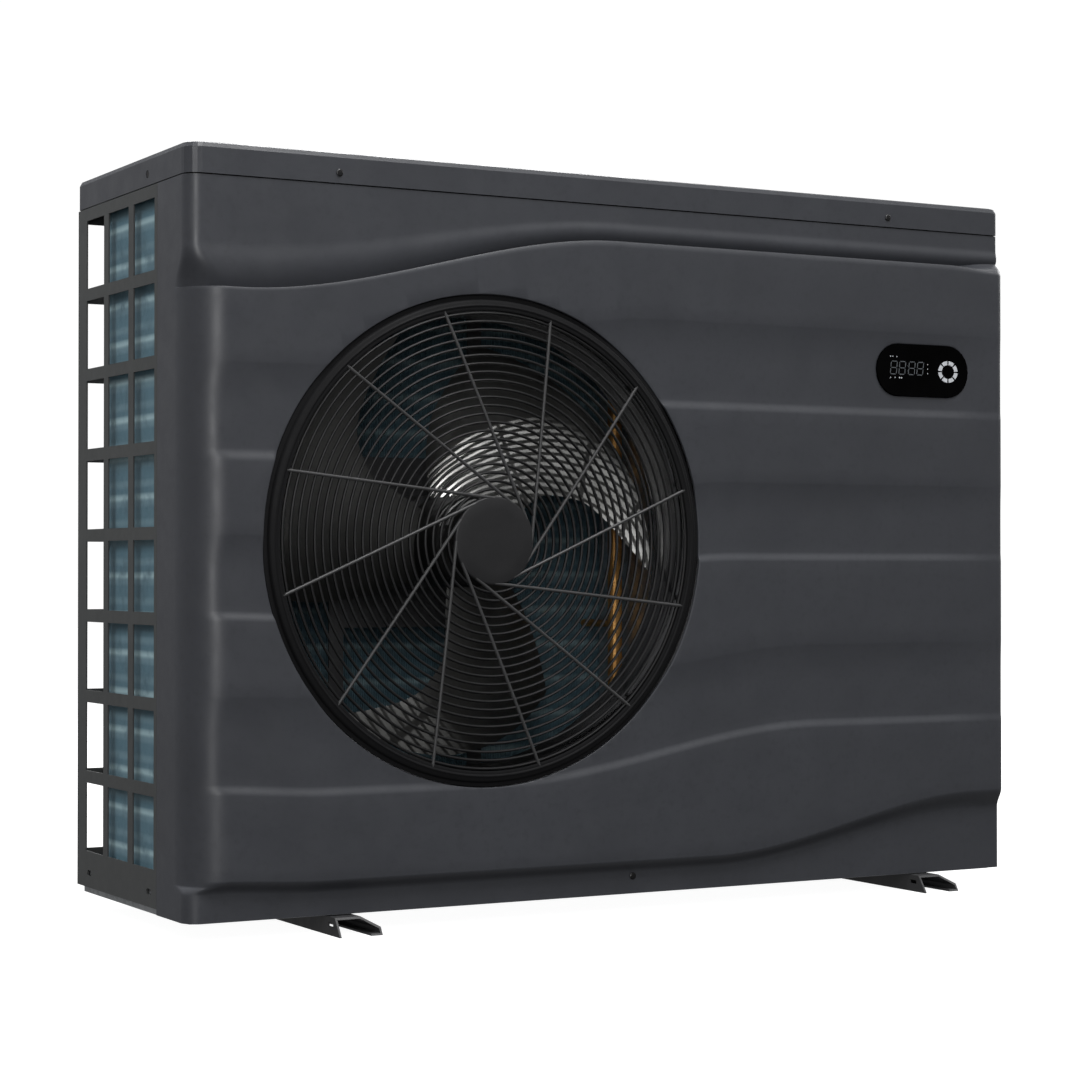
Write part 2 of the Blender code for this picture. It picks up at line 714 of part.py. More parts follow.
def hex_ring(name, inner, across_flats, centre, low, high, look):
    """Hexagonal nut along the front-to-back axis."""
    outer = across_flats / 2 / cos(pi / 6)
    steps = 24

    def loop(y, hexagon):
        points = []
        for k in range(steps):
            angle = 2 * pi * k / steps
            flat = (angle + pi / 6) % (pi / 3) - pi / 6
            radius = outer * cos(pi / 6) / cos(flat) if hexagon else inner
            points.append((centre[0] + radius * cos(angle), y, centre[1] + radius * sin(angle)))
        return points
    loops = [loop(low, False), loop(low, True), loop(high, True), loop(high, False)]
    return loft(name, loops, look, closed=True)


def fan_nut(look):
    return hex_ring("fan_nut", SHAFT_RADIUS + GAP, 0.018, (FAN_X, FAN_Z), -0.1385, -0.1323, look)


# ---- Refrigeration pieces ----
def evaporator_coil(look):
    """L-shaped finned block along the left side and the back, drawn as its outer form."""
    inner_bend = COIL_BEND - COIL_THICKNESS
    centre = (COIL_LEFT + COIL_BEND, COIL_REAR - COIL_BEND)
    steps = 8
    front_end = FRONT + 0.011

    def edge(radius):
        points = [(centre[0] - radius, front_end)]
        for k in range(steps + 1):
            angle = pi - pi / 2 * k / steps
            points.append((centre[0] + radius * cos(angle), centre[1] + radius * sin(angle)))
        return points + [(COIL_END, centre[1] + radius)]
    outline = edge(COIL_BEND) + list(reversed(edge(inner_bend)))
    loops = [[(x, y, z) for x, y in outline] for z in (PAN_FLOOR + GAP, COIL_TOP)]
    return loft("evaporator_coil", loops, look)


def coil_end_plate(look):
    return box("coil_end_plate", (COIL_END + GAP, COIL_REAR - COIL_THICKNESS - 0.004, PAN_FLOOR + GAP),
               (COIL_END + 0.0018, COIL_REAR + 0.003, COIL_TOP), look)


def coil_header(look):
    """Upright copper header on the fan side, with feeders that run back to the coil."""
    header = rod("coil_header", (*HEADER, 0.080), (*HEADER, 0.660), HEADER_RADIUS, look, 16)
    coil_face = COIL_REAR - COIL_THICKNESS - GAP
    for k, z in enumerate(FEEDER_Z):
        join(header, rod("feeder_%d" % k, (*HEADER, z), (HEADER[0], coil_face, z), FEEDER_RADIUS, look, 8))
    return header


def compressor(look):
    x, y = COMPRESSOR
    profile = [(0, 0.052), (0.076, 0.052), (0.076, 0.055), (0.052, 0.055), (0.058, 0.062), (0.058, 0.272),
               (0.054, 0.288), (0.040, 0.301), (0.020, 0.307), (0, 0.308)]
    return turned("compressor", profile, (x, y, 0), (0, 0, 1), look)


def compressor_grommets(look):
    for k in range(3):
        angle = radians(90 + 120 * k)
        spot = (COMPRESSOR[0] + 0.064 * cos(angle), COMPRESSOR[1] + 0.064 * sin(angle), 0)
        profile = [(0.004, PAN_FLOOR + GAP), (0.014, PAN_FLOOR + GAP), (0.014, 0.034), (0.010, 0.038),
                   (0.013, 0.043), (0.013, 0.052 - GAP), (0.004, 0.052 - GAP)]
        turned("compressor_grommet_%d" % (k + 1), profile, spot, (0, 0, 1), look, steps=12, closed=True)


def accumulator(look):
    x, y = ACCUMULATOR
    profile = [(0, 0.090), (0.020, 0.093), (0.031, 0.106), (0.031, 0.262), (0.020, 0.275), (0, 0.278)]
    return turned("accumulator", profile, (x, y, 0), (0, 0, 1), look, steps=24)


def four_way_valve(look):
    """Reversing valve: a lying cylinder with domed ends."""
    profile = [(0, 0), (0.010, 0.002), (0.0135, 0.008), (0.0135, 0.104), (0.010, 0.110), (0, 0.112)]
    return turned("four_way_valve", profile, (VALVE_X - 0.056, VALVE_Y, VALVE_Z), (1, 0, 0), look, steps=20)


def expansion_valve(look):
    """Electronic expansion valve: brass body with a round coil on top."""
    profile = [(0, 0), (0.008, 0), (0.008, 0.022), (0.018, 0.023), (0.020, 0.026), (0.020, 0.052),
               (0.018, 0.055), (0, 0.055)]
    return turned("expansion_valve", profile, (*EXPANSION, EXPANSION_BOTTOM), (0, 0, 1), look, steps=20)


def refrigerant_pipes(look):
    """Copper lines; each stops just short of the pieces that it joins."""
    under = VALVE_Z - 0.0138
    over = VALVE_Z + 0.0138
    header_face = HEADER[0] + HEADER_RADIUS + GAP
    x, y = COMPRESSOR
    pipe("discharge_pipe", [(x - 0.030, y, 0.3062), (x - 0.030, y, 0.480), (x - 0.030, VALVE_Y, 0.480),
                            (x - 0.030, VALVE_Y, over)], LIQUID_RADIUS, look)
    x, y = ACCUMULATOR
    pipe("suction_pipe", [(x, y, 0.2785), (x, y, 0.370), (VALVE_X, y + 0.020, 0.370),
                          (VALVE_X, VALVE_Y, 0.370), (VALVE_X, VALVE_Y, under)], GAS_RADIUS, look)
    x = VALVE_X + 0.030
    pipe("coil_gas_pipe", [(header_face, HEADER[1], GAS_Z), (0.160, HEADER[1], GAS_Z), (0.185, VALVE_Y, GAS_Z),
                           (x, VALVE_Y, GAS_Z), (x, VALVE_Y, over)], GAS_RADIUS, look, bend=0.016)
    x = VALVE_X + 0.035
    aside = x + 0.035
    pipe("exchanger_gas_pipe", [(x, VALVE_Y, under), (x, VALVE_Y, 0.396), (aside, VALVE_Y, 0.396),
                                (aside, VALVE_Y, 0.535), (*EXCHANGER, 0.535),
                                (*EXCHANGER, EXCHANGER_TOP + GAP)], GAS_RADIUS, look, bend=0.014)
    x = EXPANSION[0]
    pipe("coil_liquid_pipe", [(header_face, HEADER[1], LIQUID_Z), (0.135, HEADER[1], LIQUID_Z),
                              (0.160, 0.075, LIQUID_Z), (x, 0.075, LIQUID_Z), (x, EXPANSION[1], LIQUID_Z),
                              (x, EXPANSION[1], EXPANSION_BOTTOM - GAP)], LIQUID_RADIUS, look, bend=0.014)


# ---- Water pieces ----
def heat_exchanger(look):
    """Upright PVC shell with a wider cap at each end and two water ports towards the back."""
    x, y = EXCHANGER
    profile = [(0, 0.060), (0.058, 0.060), (0.062, 0.065), (0.062, 0.098), (0.056, 0.100), (0.056, 0.462),
               (0.062, 0.464), (0.062, 0.492), (0.056, EXCHANGER_TOP), (0, EXCHANGER_TOP)]
    shell = turned("heat_exchanger", profile, (x, y, 0), (0, 0, 1), look, steps=32)
    for name, z in (("inlet_port", INLET_Z), ("outlet_port", OUTLET_Z)):
        join(shell, rod(name, (x, y, z), (x, y + 0.070, z), 0.034, look, 24))
    return shell


def water_side(name, z, looks):
    """Threaded stub, seal, tailpiece and union nut of one water connection."""
    centre = (UNION_X, 0, z)
    back = (0, 1, 0)
    start = EXCHANGER[1] + 0.070 + GAP
    turned(name + "_seal", ring_profile(0.0245, 0.0290, 0.1603, 0.1630), centre, back, looks["rubber"],
           steps=24, closed=True)
    flange = PIPE_OUTER - 0.001
    tail = [(TAIL_INNER, 0.1633), (flange, 0.1633), (flange, 0.1680), (TAIL_OUTER, 0.1680),
            (TAIL_OUTER, 0.1790), (TAIL_INNER, 0.1790)]
    turned(name + "_tailpiece", tail, centre, back, looks["pvc"], steps=24, closed=True)
    stub = turned(name + "_pipe", ring_profile(PIPE_INNER, PIPE_OUTER, start, 0.1600), centre, back,
                  looks["pvc"], steps=24, closed=True)
    thread = PIPE_OUTER + RUNNING
    collar = TAIL_OUTER + RUNNING
    nut = [(thread, 0.1450), (NUT_RADIUS - 0.001, 0.1450), (NUT_RADIUS, 0.1465), (NUT_RADIUS, 0.1745),
           (NUT_RADIUS - 0.0015, 0.1760), (collar, 0.1760), (collar, 0.1683), (thread, 0.1683)]
    turned(name + "_union_nut", nut, centre, back, looks["nut"], steps=48, closed=True)
    return stub


def flow_switch(looks):
    """Flow switch on top of the inlet stub; two ears and a pin carry its paddle in the water."""
    top = INLET_Z + PIPE_OUTER
    plug = INLET_Z + PIPE_INNER - 0.0010
    pivot = INLET_Z + PIPE_INNER - PIVOT_DROP
    profile = [(0, plug), (0.0087, plug), (0.0087, top + 0.002), (0.016, top + 0.002), (0.016, top + 0.010),
               (0.021, top + 0.012), (0.021, top + 0.040), (0.018, top + 0.043), (0, top + 0.043)]
    switch = turned("flow_switch", profile, (UNION_X, SWITCH_Y, 0), (0, 0, 1), looks["black"], steps=20)
    for side in (-1, 1):
        near = UNION_X + side * 0.0055
        far = UNION_X + side * 0.0072
        join(switch, box("ear_%d" % side, (min(near, far), SWITCH_Y - 0.0022, pivot - 0.0022),
                         (max(near, far), SWITCH_Y + 0.0022, plug + 0.002), looks["black"]))
    return join(switch, rod("pin", (UNION_X - 0.0065, SWITCH_Y, pivot), (UNION_X + 0.0065, SWITCH_Y, pivot),
                            PIN_RADIUS, looks["black"], 16))


def flow_paddle(look):
    """Paddle plate with a rolled eye on the switch's pin; its origin is on the pin's axis."""
    spot = (UNION_X, SWITCH_Y, INLET_Z + PIPE_INNER - PIVOT_DROP)
    half = [(0.0050, -0.0015), (0.0050, -0.0045), (0.0080, -0.0060), (0.0080, 0.002 - PADDLE_LENGTH),
            (0.0060, -PADDLE_LENGTH)]
    outline = half + [(-x, z) for x, z in reversed(half)]
    paddle = loft("flow_paddle", [[(x, y, z) for x, z in outline] for y in (-0.0008, 0.0008)], look)
    eye = turned("eye", ring_profile(PIN_RADIUS + RUNNING, 0.0022, -0.0050, 0.0050), (0, 0, 0), (1, 0, 0),
                 look, steps=16, closed=True)
    paddle.location = spot
    eye.location = spot
    return join(paddle, eye)


def drain_nozzle(look):
    profile = [(0.0070, 0.0060), (0.0090, 0.0060), (0.0105, 0.0175), (0.0105, PAN_FLOOR + GAP),
               (0.0150, PAN_FLOOR + GAP), (0.0150, PAN_FLOOR + 0.002), (0.0070, PAN_FLOOR + 0.002)]
    return turned("drain_nozzle", profile, (*DRAIN, 0), (0, 0, 1), look, steps=24, closed=True)


# ---- Electrical pieces ----
def electrical_box(looks):
    low = (0.130, -0.120, 0.585)
    high = (0.445, 0.085, 0.660)

    def level(height, inset):
        outline = [(low[0] + inset, low[1] + inset), (high[0] - inset, low[1] + inset),
                   (high[0] - inset, high[1] - inset), (low[0] + inset, high[1] - inset)]
        return [(x, y, height) for x, y in outline]
    loft("electrical_box", [level(low[2] + SHEET, SHEET), level(high[2], SHEET), level(high[2], 0.0),
                            level(low[2], 0.0)], looks["galvanised"])
    lid = high[2] + GAP
    loft("electrical_box_lid", [level(lid, -0.001), level(lid + SHEET, -0.001), level(lid + 0.006, 0.012),
                                level(lid + 0.0075, 0.014)], looks["galvanised"])
    board = low[2] + SHEET + 0.006
    box("control_board", (0.145, -0.105, board), (0.400, 0.070, board + 0.0016), looks["board"])


def heat_sink(look):
    """Finned aluminium block on the fan side of the partition."""
    fins = 8
    pitch = 0.0115
    base = PARTITION_X - GAP
    outline = [(base, -0.090), (base, -0.090 + pitch * fins - 0.008)]
    for k in reversed(range(fins)):
        y = -0.090 + pitch * k
        outline += [(base - 0.030, y + 0.0035), (base - 0.030, y)]
        if k:
            outline += [(base - 0.006, y), (base - 0.006, y - pitch + 0.0035)]
    return loft("heat_sink", [[(x, y, z) for x, y in outline] for z in (0.590, 0.700)], look)


def cable_gland(look):
    """Gland for the mains lead; the lead itself isn't part of the model."""
    profile = [(0.0060, 0.1400), (0.0098, 0.1400), (0.0098, REAR + GAP), (0.0150, REAR + GAP),
               (0.0150, 0.1620), (0.0120, 0.1640), (0.0110, 0.1760), (0.0060, 0.1760)]
    return turned("cable_gland", profile, (GLAND[0], 0, GLAND[1]), (0, 1, 0), look, steps=24, closed=True)


def touch_panel(looks):
    """Glossy touch lens, the display board behind it and the housing that holds both."""
    face = FRONT - BODY_BULGE + 0.0012
    pill("control_lens", face, face + 0.0025, 0.0004, looks["lens"])
    centre_x, centre_z = PANEL_CENTRE
    box("display_board", (centre_x - 0.038, face + 0.0030, centre_z - 0.020),
        (centre_x + 0.038, face + 0.0046, centre_z + 0.020), looks["board"])
    back = face + 0.024
    half_x = PANEL_SIZE[0] / 2 - 0.004
    half_z = PANEL_SIZE[1] / 2 - 0.004

    def level(y, inset):
        outline = rounded_rectangle((centre_x - half_x + inset, centre_z - half_z + inset),
                                    (centre_x + half_x - inset, centre_z + half_z - inset), 0.008, 2)
        return [(x, y, z) for x, z in outline]
    loft("display_housing", [level(back - 0.002, 0.002), level(face + 0.0064, 0.002),
                             level(face + 0.0064, 0.0), level(back, 0.0)], looks["black"])


# ---- Fasteners ----
def screw(name, spot, outward, look):
    """Pan-head screw, of which only the head stands on the surface."""
    profile = [(0, GAP), (HEAD_RADIUS, GAP), (HEAD_RADIUS, 0.0007), (0.0026, 0.0013), (0, 0.0014)]
    return turned(name, profile, spot, outward, look, steps=12)


def sunk_screw(name, y, z, look):
    """Flat screw head in its seat in the left side."""
    seat = -HALF + COUNTERBORE
    profile = [(0, GAP), (HEAD_RADIUS, GAP), (HEAD_RADIUS, 0.0008), (0.0030, 0.0011), (0, 0.0011)]
    return turned(name, profile, (seat, y, z), (-1, 0, 0), look, steps=12)


def screws(look):
    for name, x in zip(("lid_screw_left", "lid_screw_right"), LID_SCREW_X):
        screw(name, (x, FRONT, LID_SCREW_Z), (0, -1, 0), look)
    screw("base_screw_front", (BASE_SCREW[0], FRONT, BASE_SCREW[1]), (0, -1, 0), look)
    sunk_screw("lid_screw_side", *LID_SIDE_SCREW, look)
    for name, y, z in SIDE_SCREWS:
        sunk_screw("side_screw_" + name, y, z, look)


# ---- Assembly ----
def palette():
    return {
        "shell": material("shell_grey", (0.047, 0.049, 0.054), 0.42),
        "sheet": material("sheet_grey", (0.075, 0.074, 0.072), 0.55),
        "black": material("black_plastic", (0.012, 0.012, 0.013), 0.45),
        "paint": material("black_paint", (0.014, 0.014, 0.015), 0.40),
        "lens": material("gloss_black", (0.004, 0.004, 0.004), 0.08),
        "fins": material("coated_fins", (0.13, 0.24, 0.28), 0.45, 0.6),
        "copper": material("copper", (0.66, 0.30, 0.18), 0.32, 1.0),
        "brass": material("brass", (0.66, 0.50, 0.22), 0.35, 1.0),
        "steel": material("steel", (0.42, 0.42, 0.43), 0.38, 1.0),
        "galvanised": material("galvanised_sheet", (0.50, 0.51, 0.52), 0.48, 1.0),
        "aluminium": material("aluminium", (0.66, 0.67, 0.68), 0.40, 1.0),
        "rubber": material("rubber", (0.018, 0.018, 0.018), 0.80),
        "pvc": material("white_pvc", (0.62, 0.62, 0.60), 0.40),
        "nut": material("grey_pvc", (0.16, 0.17, 0.18), 0.45),
        "board": material("circuit_board", (0.03, 0.16, 0.08), 0.50),
    }


def build():
    clear_scene()
    look = palette()
    base_pan(look["galvanised"])
    foot_rail("left_foot_rail", -0.333, look["paint"])
    foot_rail("right_foot_rail", 0.356, look["paint"])
    front_panel(look["shell"])
    top_cover(look["shell"])
    left_side_panel(look["sheet"])
    rear_guard_panel(look["sheet"])
    rear_service_panel(look["sheet"])
    right_side_panel(look["sheet"])
    terminal_cover(look["black"])
    partition_plate(look["galvanised"])
    fan_grille(look["black"])
    fan_shroud(look["black"])
    motor_bracket(look["paint"])
    fan_motor(look["paint"])
    motor_shaft(look["steel"])
    fan_impeller(look["black"])
    fan_nut(look["brass"])
    evaporator_coil(look["fins"])
    coil_end_plate(look["galvanised"])
    coil_header(look["copper"])
    compressor(look["paint"])
    compressor_grommets(look["rubber"])
    accumulator(look["paint"])
    four_way_valve(look["brass"])
    expansion_valve(look["brass"])
    refrigerant_pipes(look["copper"])
    heat_exchanger(look["nut"])
    water_side("outlet", OUTLET_Z, look)
    inlet = water_side("inlet", INLET_Z, look)
    cut(inlet, rod("switch_hole", (UNION_X, SWITCH_Y, INLET_Z), (UNION_X, SWITCH_Y, INLET_Z + 0.05),
                   SWITCH_HOLE, look["black"], 20))
    flow_switch(look)
    flow_paddle(look["steel"])
    drain_nozzle(look["black"])
    electrical_box(look)
    heat_sink(look["aluminium"])
    cable_gland(look["black"])
    touch_panel(look)
    screws(look["steel"])


build()
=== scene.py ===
import math

import bpy
import numpy as np
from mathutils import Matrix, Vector


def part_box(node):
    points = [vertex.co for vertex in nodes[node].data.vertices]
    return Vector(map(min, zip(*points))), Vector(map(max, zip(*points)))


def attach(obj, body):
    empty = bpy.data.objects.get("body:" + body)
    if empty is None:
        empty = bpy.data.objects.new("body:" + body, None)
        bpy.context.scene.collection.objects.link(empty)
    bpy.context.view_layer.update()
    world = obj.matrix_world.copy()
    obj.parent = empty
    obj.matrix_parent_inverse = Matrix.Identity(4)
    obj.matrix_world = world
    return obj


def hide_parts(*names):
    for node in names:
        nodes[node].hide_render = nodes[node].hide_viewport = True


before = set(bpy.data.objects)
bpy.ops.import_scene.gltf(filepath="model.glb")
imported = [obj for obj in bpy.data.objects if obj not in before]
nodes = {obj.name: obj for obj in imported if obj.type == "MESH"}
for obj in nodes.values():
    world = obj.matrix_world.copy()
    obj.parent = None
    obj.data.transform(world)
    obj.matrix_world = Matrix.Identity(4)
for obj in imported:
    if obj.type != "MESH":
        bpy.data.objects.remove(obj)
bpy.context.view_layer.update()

# ---- Dimensions of the cabinet's front, in metres ----
HALF = 0.477
FRONT = -0.153
RETURN_Y = -0.0755
PANEL_TOP = 0.7165
PANEL_BOTTOM = 0.0190
SHELL = 0.0025
BULGE = 0.012
RECESS = 0.003
HOLE_GAP = 0.0008
HOLE_SNAP = 0.0009
# The left corner's reach along X and back along Y, and the tight right corner's reach:
# the first number at the recessed top, then what the proud part of the relief adds or ends at.
CORNER_ACROSS = (0.015, 0.025)
CORNER_BACK = (0.015, 0.032)
TIGHT_CORNER = (0.003, 0.007)
# Where the bands' left ends lift, from x to x.
LEFT_END = (-0.460, -0.340)
# Each line has its height at the left and at the right, and the x where it starts and stops rising.
STEP_LINE = (0.612, 0.680, -0.427, -0.017)
BOTTOM_LINE = (0.052, 0.105, 0.098, 0.436)
# Each band has a line for its upper edge, for the end of its groove and for its foot.
BANDS = (
    ((0.543, 0.604, -0.370, 0.030), (0.4615, 0.522, -0.370, 0.030), (0.4485, 0.511, -0.370, 0.030)),
    ((0.381, 0.439, -0.260, 0.120), (0.307, 0.366, -0.260, 0.120), (0.2965, 0.356, -0.260, 0.120)),
    ((0.2275, 0.270, -0.152, 0.222), (0.1425, 0.191, -0.152, 0.222), (0.132, 0.181, -0.152, 0.222)),
)
BAND_LIFTS = ((0.0, 0.0, 0.0), (0.0, 0.003, 0.003), (0.003, 0.006, 0.006))

# ---- Fan ----
FAN_X = -0.163
FAN_Z = 0.376
FAN_HOLE = 0.2420
RIM_INNER = 0.2315
SPOKES = 12
SPOKE_TANGENT = 0.0415
SPOKE_ANGLE = math.radians(13.5)
SPOKE_ENDS = (0.0418, 0.2285)
SPOKE_STEPS = 26
SPOKE_WIRE = 0.0017
GRILLE_RINGS = 22
RING_ENDS = (0.0505, 0.2235)
RING_WIRE = 0.0015
GRILLE_FRONT = -0.1665
GRILLE_EDGE = 0.2415
GRILLE_DOME = 0.005
BLADES = 3
BLADE_ROOT = 0.0425
BLADE_TIP = 0.2160
BLADE_HALF = 0.0013
BLADE_CAMBER = 0.010
# Pairs of radius and Y in metres, or radius and angle in degrees, for the blades' two edges.
TRAILING_Y = (
    (0.042, -0.085), (0.140, -0.086), (0.160, -0.089), (0.180, -0.096), (0.200, -0.106),
    (0.216, -0.115),
)
TRAILING_ANGLE = (
    (0.042, 19), (0.070, 21.5), (0.096, 24.5), (0.112, 25.5), (0.132, 21), (0.155, 15.5),
    (0.170, 9), (0.190, 0), (0.216, -9),
)
LEADING_ANGLE = ((0.042, 112), (0.090, 96), (0.120, 90), (0.160, 82), (0.195, 76), (0.216, 73))
LEADING_Y = ((0.042, -0.066), (0.060, -0.058), (0.090, -0.040), (0.125, -0.026), (0.216, -0.012))

# ---- Coil: the trim keeps its front end behind the rounded corner ----
COIL_BEND = 0.066
COIL_TRIM = 0.010
COIL_THICK = 0.037
FIN_PITCH = 0.0021
FIN_HALF = 0.00055
TUBE_ROWS = 36
TUBE_RADIUS = 0.0040
# Each bank of tubes has its distance inside the coil's face and its lift above the other bank.
TUBE_BANKS = ((0.0095, 0.0), (0.0275, 0.0035))

# ---- Touch panel ----
PANEL_X = 0.366
PANEL_Z = 0.5627
PANEL_SIZE = (0.123, 0.0564)
DIGIT_SIZE = (0.0080, 0.0138)
DIGIT_SLANT = 0.0008
DIGIT_PITCH = 0.0113
STROKE_TRIM = 0.08
TOUCH_RING = (0.0338, 0.0132, 0.0118, 0.0084, 0.0076)
TOUCH_SECTORS = 8

# ---- Studio ----
FLOOR_HALF = 12.0
SPOT_DISTANCE = 2.9
UPPER_LEFT = Vector((-1.09, -1.0, 0.95))


# ---- Mesh helpers ----
class Build:
    """Collects the faces of one piece."""

    def __init__(self):
        self.verts = []
        self.faces = []
        self.slots = []
        self.slot = 0

    def add(self, verts, faces):
        base = len(self.verts)
        self.verts.extend(tuple(float(c) for c in v) for v in verts)
        self.faces.extend(tuple(int(i) + base for i in f) for f in faces)
        self.slots.extend([self.slot] * len(faces))

    def loops(self, loops, closed=False):
        """Skins a list of equally long loops, with end caps unless the list closes on itself."""
        count = len(loops[0])
        verts = [v for loop in loops for v in loop]
        faces = []
        last = len(loops) if closed else len(loops) - 1
        for i in range(last):
            j = (i + 1) % len(loops)
            for k in range(count):
                m = (k + 1) % count
                faces.append((i * count + k, i * count + m, j * count + m, j * count + k))
        if not closed:
            faces.append(tuple(range(count))[::-1])
            faces.append(tuple((len(loops) - 1) * count + k for k in range(count)))
        self.add(verts, faces)

    def turned(self, profile, steps):
        """Turns a closed profile of (radius, y) about the fan's axis."""
        loops = []
        for radius, y in profile:
            loop = []
            for k in range(steps):
                angle = 2 * math.pi * k / steps
                loop.append((FAN_X + radius * math.cos(angle), 0 + y, FAN_Z + radius * math.sin(angle)))
            loops.append(loop)
        self.loops(loops, closed=True)

    def tube(self, path, radius, sides=10, flat=1.0, closed=False):
        """Sweeps a circle, or an ellipse squeezed along Y, along a path."""
        path = [Vector(p) for p in path]
        loops = []
        count = len(path)
        for i, p in enumerate(path):
            before = path[i - 1] if i or closed else p
            after = path[(i + 1) % count] if i + 1 < count or closed else p
            along = (after - before).normalized()
            depth = Vector((0, 1, 0)) if abs(along.y) < 0.9 else Vector((0, 0, 1))
            side = along.cross(depth).normalized()
            up = side.cross(along).normalized()
            loop = []
            for k in range(sides):
                angle = 2 * math.pi * k / sides
                across = side * (radius * math.cos(angle))
                loop.append(p + across + up * (radius * flat * math.sin(angle)))
            loops.append(loop)
        self.loops(loops, closed=closed)

    def done(self, name, looks, angle=35, body="cabinet", slot=None):
        """Makes the object, gives it its looks and puts it on its body."""
        mesh = bpy.data.meshes.new(name)
        mesh.from_pydata(self.verts, [], self.faces)
        looks = looks if isinstance(looks, (list, tuple)) else [looks]
        for look in looks:
            mesh.materials.append(look)
        mesh.polygons.foreach_set("material_index", self.slots)
        mesh.validate()
        mesh.shade_smooth()
        mesh.set_sharp_from_angle(angle=math.radians(angle))
        obj = bpy.data.objects.new(name, mesh)
        bpy.context.scene.collection.objects.link(obj)
        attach(obj, body)
        return obj


def ease(x, start, end):
    """Rises smoothly from 0 at start to 1 at end."""
    t = np.clip((x - start) / (end - start), 0, 1)
    return t * t * (3 - 2 * t)


def line_height(line, x):
    """Height at x of a line that rises between two ends."""
    left, right, start, end = line
    return left + (right - left) * ease(x, start, end)


# ---- Materials ----
class Look:
    """A node material on a Principled shader, built up layer by layer."""

    def __init__(self, name, colour, roughness, metallic=0.0, coat=0.0, specular=0.5):
        self.material = bpy.data.materials.new(name)
        self.material.use_nodes = True
        self.tree = self.material.node_tree
        self.shader = self.tree.nodes["Principled BSDF"]
        self.colour = colour
        self.roughness = roughness
        self.shader.inputs["Base Color"].default_value = (*colour, 1)
        self.shader.inputs["Roughness"].default_value = roughness
        self.shader.inputs["Metallic"].default_value = metallic
        self.shader.inputs["Coat Weight"].default_value = coat
        self.shader.inputs["Coat Roughness"].default_value = 0.08
        self.shader.inputs["Specular IOR Level"].default_value = specular
        self.where = self.node("ShaderNodeTexCoord").outputs["Object"]
        self.normal = None
        self.paint = None
        self.gloss = None

    def node(self, kind, **values):
        """Adds a node; a value sets its property of that name, or else its input."""
        made = self.tree.nodes.new(kind)
        for key, value in values.items():
            if hasattr(made, key):
                setattr(made, key, value)
            else:
                made.inputs[key.replace("_", " ")].default_value = value
        return made

    def link(self, a, b):
        self.tree.links.new(a, b)

    def stretched(self, scale):
        mapping = self.node("ShaderNodeMapping")
        mapping.inputs["Scale"].default_value = scale
        self.link(self.where, mapping.inputs["Vector"])
        return mapping.outputs["Vector"]

    def noise(self, scale, detail=3.0, where=None, roughness=0.55):
        made = self.node("ShaderNodeTexNoise", Scale=scale, Detail=detail, Roughness=roughness)
        self.link(where or self.where, made.inputs["Vector"])
        return made.outputs["Fac"]

    def cells(self, scale, output="Distance"):
        made = self.node("ShaderNodeTexVoronoi", Scale=scale)
        self.link(self.where, made.inputs["Vector"])
        return made.outputs[output]

    def ranged(self, value, low, high, start=0.3, end=0.7):
        made = self.node("ShaderNodeMapRange")
        limits = {"From Min": start, "From Max": end, "To Min": low, "To Max": high}
        for key, number in limits.items():
            made.inputs[key].default_value = number
        self.link(value, made.inputs["Value"])
        return made.outputs["Result"]

    def vary(self, value, other, low=0.35, high=0.65):
        """Mixes the colour so far towards another where value is high."""
        mix = self.node("ShaderNodeMix", data_type="RGBA")
        self.link(self.ranged(value, 0, 1, low, high), mix.inputs["Factor"])
        base, target = [socket for socket in mix.inputs
                        if socket.name in ("A", "B") and socket.type == "RGBA"]
        if self.paint is None:
            base.default_value = (*self.colour, 1)
        else:
            self.link(self.paint, base)
        target.default_value = (*other, 1)
        self.paint = next(socket for socket in mix.outputs if socket.type == "RGBA")
        return self

    def shine(self, value, low, high, start=0.3, end=0.7):
        self.gloss = self.ranged(value, low, high, start, end)
        return self

    def bump(self, value, distance, strength=1.0):
        made = self.node("ShaderNodeBump", Distance=distance, Strength=strength)
        self.link(value, made.inputs["Height"])
        if self.normal:
            self.link(self.normal, made.inputs["Normal"])
        self.normal = made.outputs["Normal"]
        return self

    def done(self):
        if self.paint:
            self.link(self.paint, self.shader.inputs["Base Color"])
        if self.gloss:
            self.link(self.gloss, self.shader.inputs["Roughness"])
        if self.normal:
            self.link(self.normal, self.shader.inputs["Normal"])
        return self.material


def shade(colour, factor):
    return tuple(c * factor for c in colour)


def moulded(name, colour, roughness, grain=1300, depth=0.00005, specular=0.5, metallic=0.0):
    """Moulded plastic: fine spark-eroded grain, slight flow mottling, faint handling gloss."""
    look = Look(name, colour, roughness, metallic=metallic, specular=specular)
    look.vary(look.noise(9, 4), shade(colour, 1.10))
    look.vary(look.noise(160, 3), shade(colour, 0.90), 0.5, 0.8)
    look.shine(look.noise(35, 5), roughness - 0.05, roughness + 0.07)
    look.bump(look.cells(grain), depth, 0.5)
    look.bump(look.noise(420, 2), depth, 0.4)
    return look.done()


def powder_coat(name, colour, roughness, peel=650, depth=0.00008, specular=0.5):
    """Powder coat on sheet: orange peel, dust specks and a soft unevenness."""
    look = Look(name, colour, roughness, specular=specular)
    look.vary(look.noise(7, 4), shade(colour, 1.09))
    look.vary(look.cells(900), shade(colour, 1.25), 0.78, 1.0)
    look.shine(look.noise(60, 4), roughness - 0.06, roughness + 0.08)
    look.bump(look.noise(peel, 1), depth, 0.45)
    return look.done()


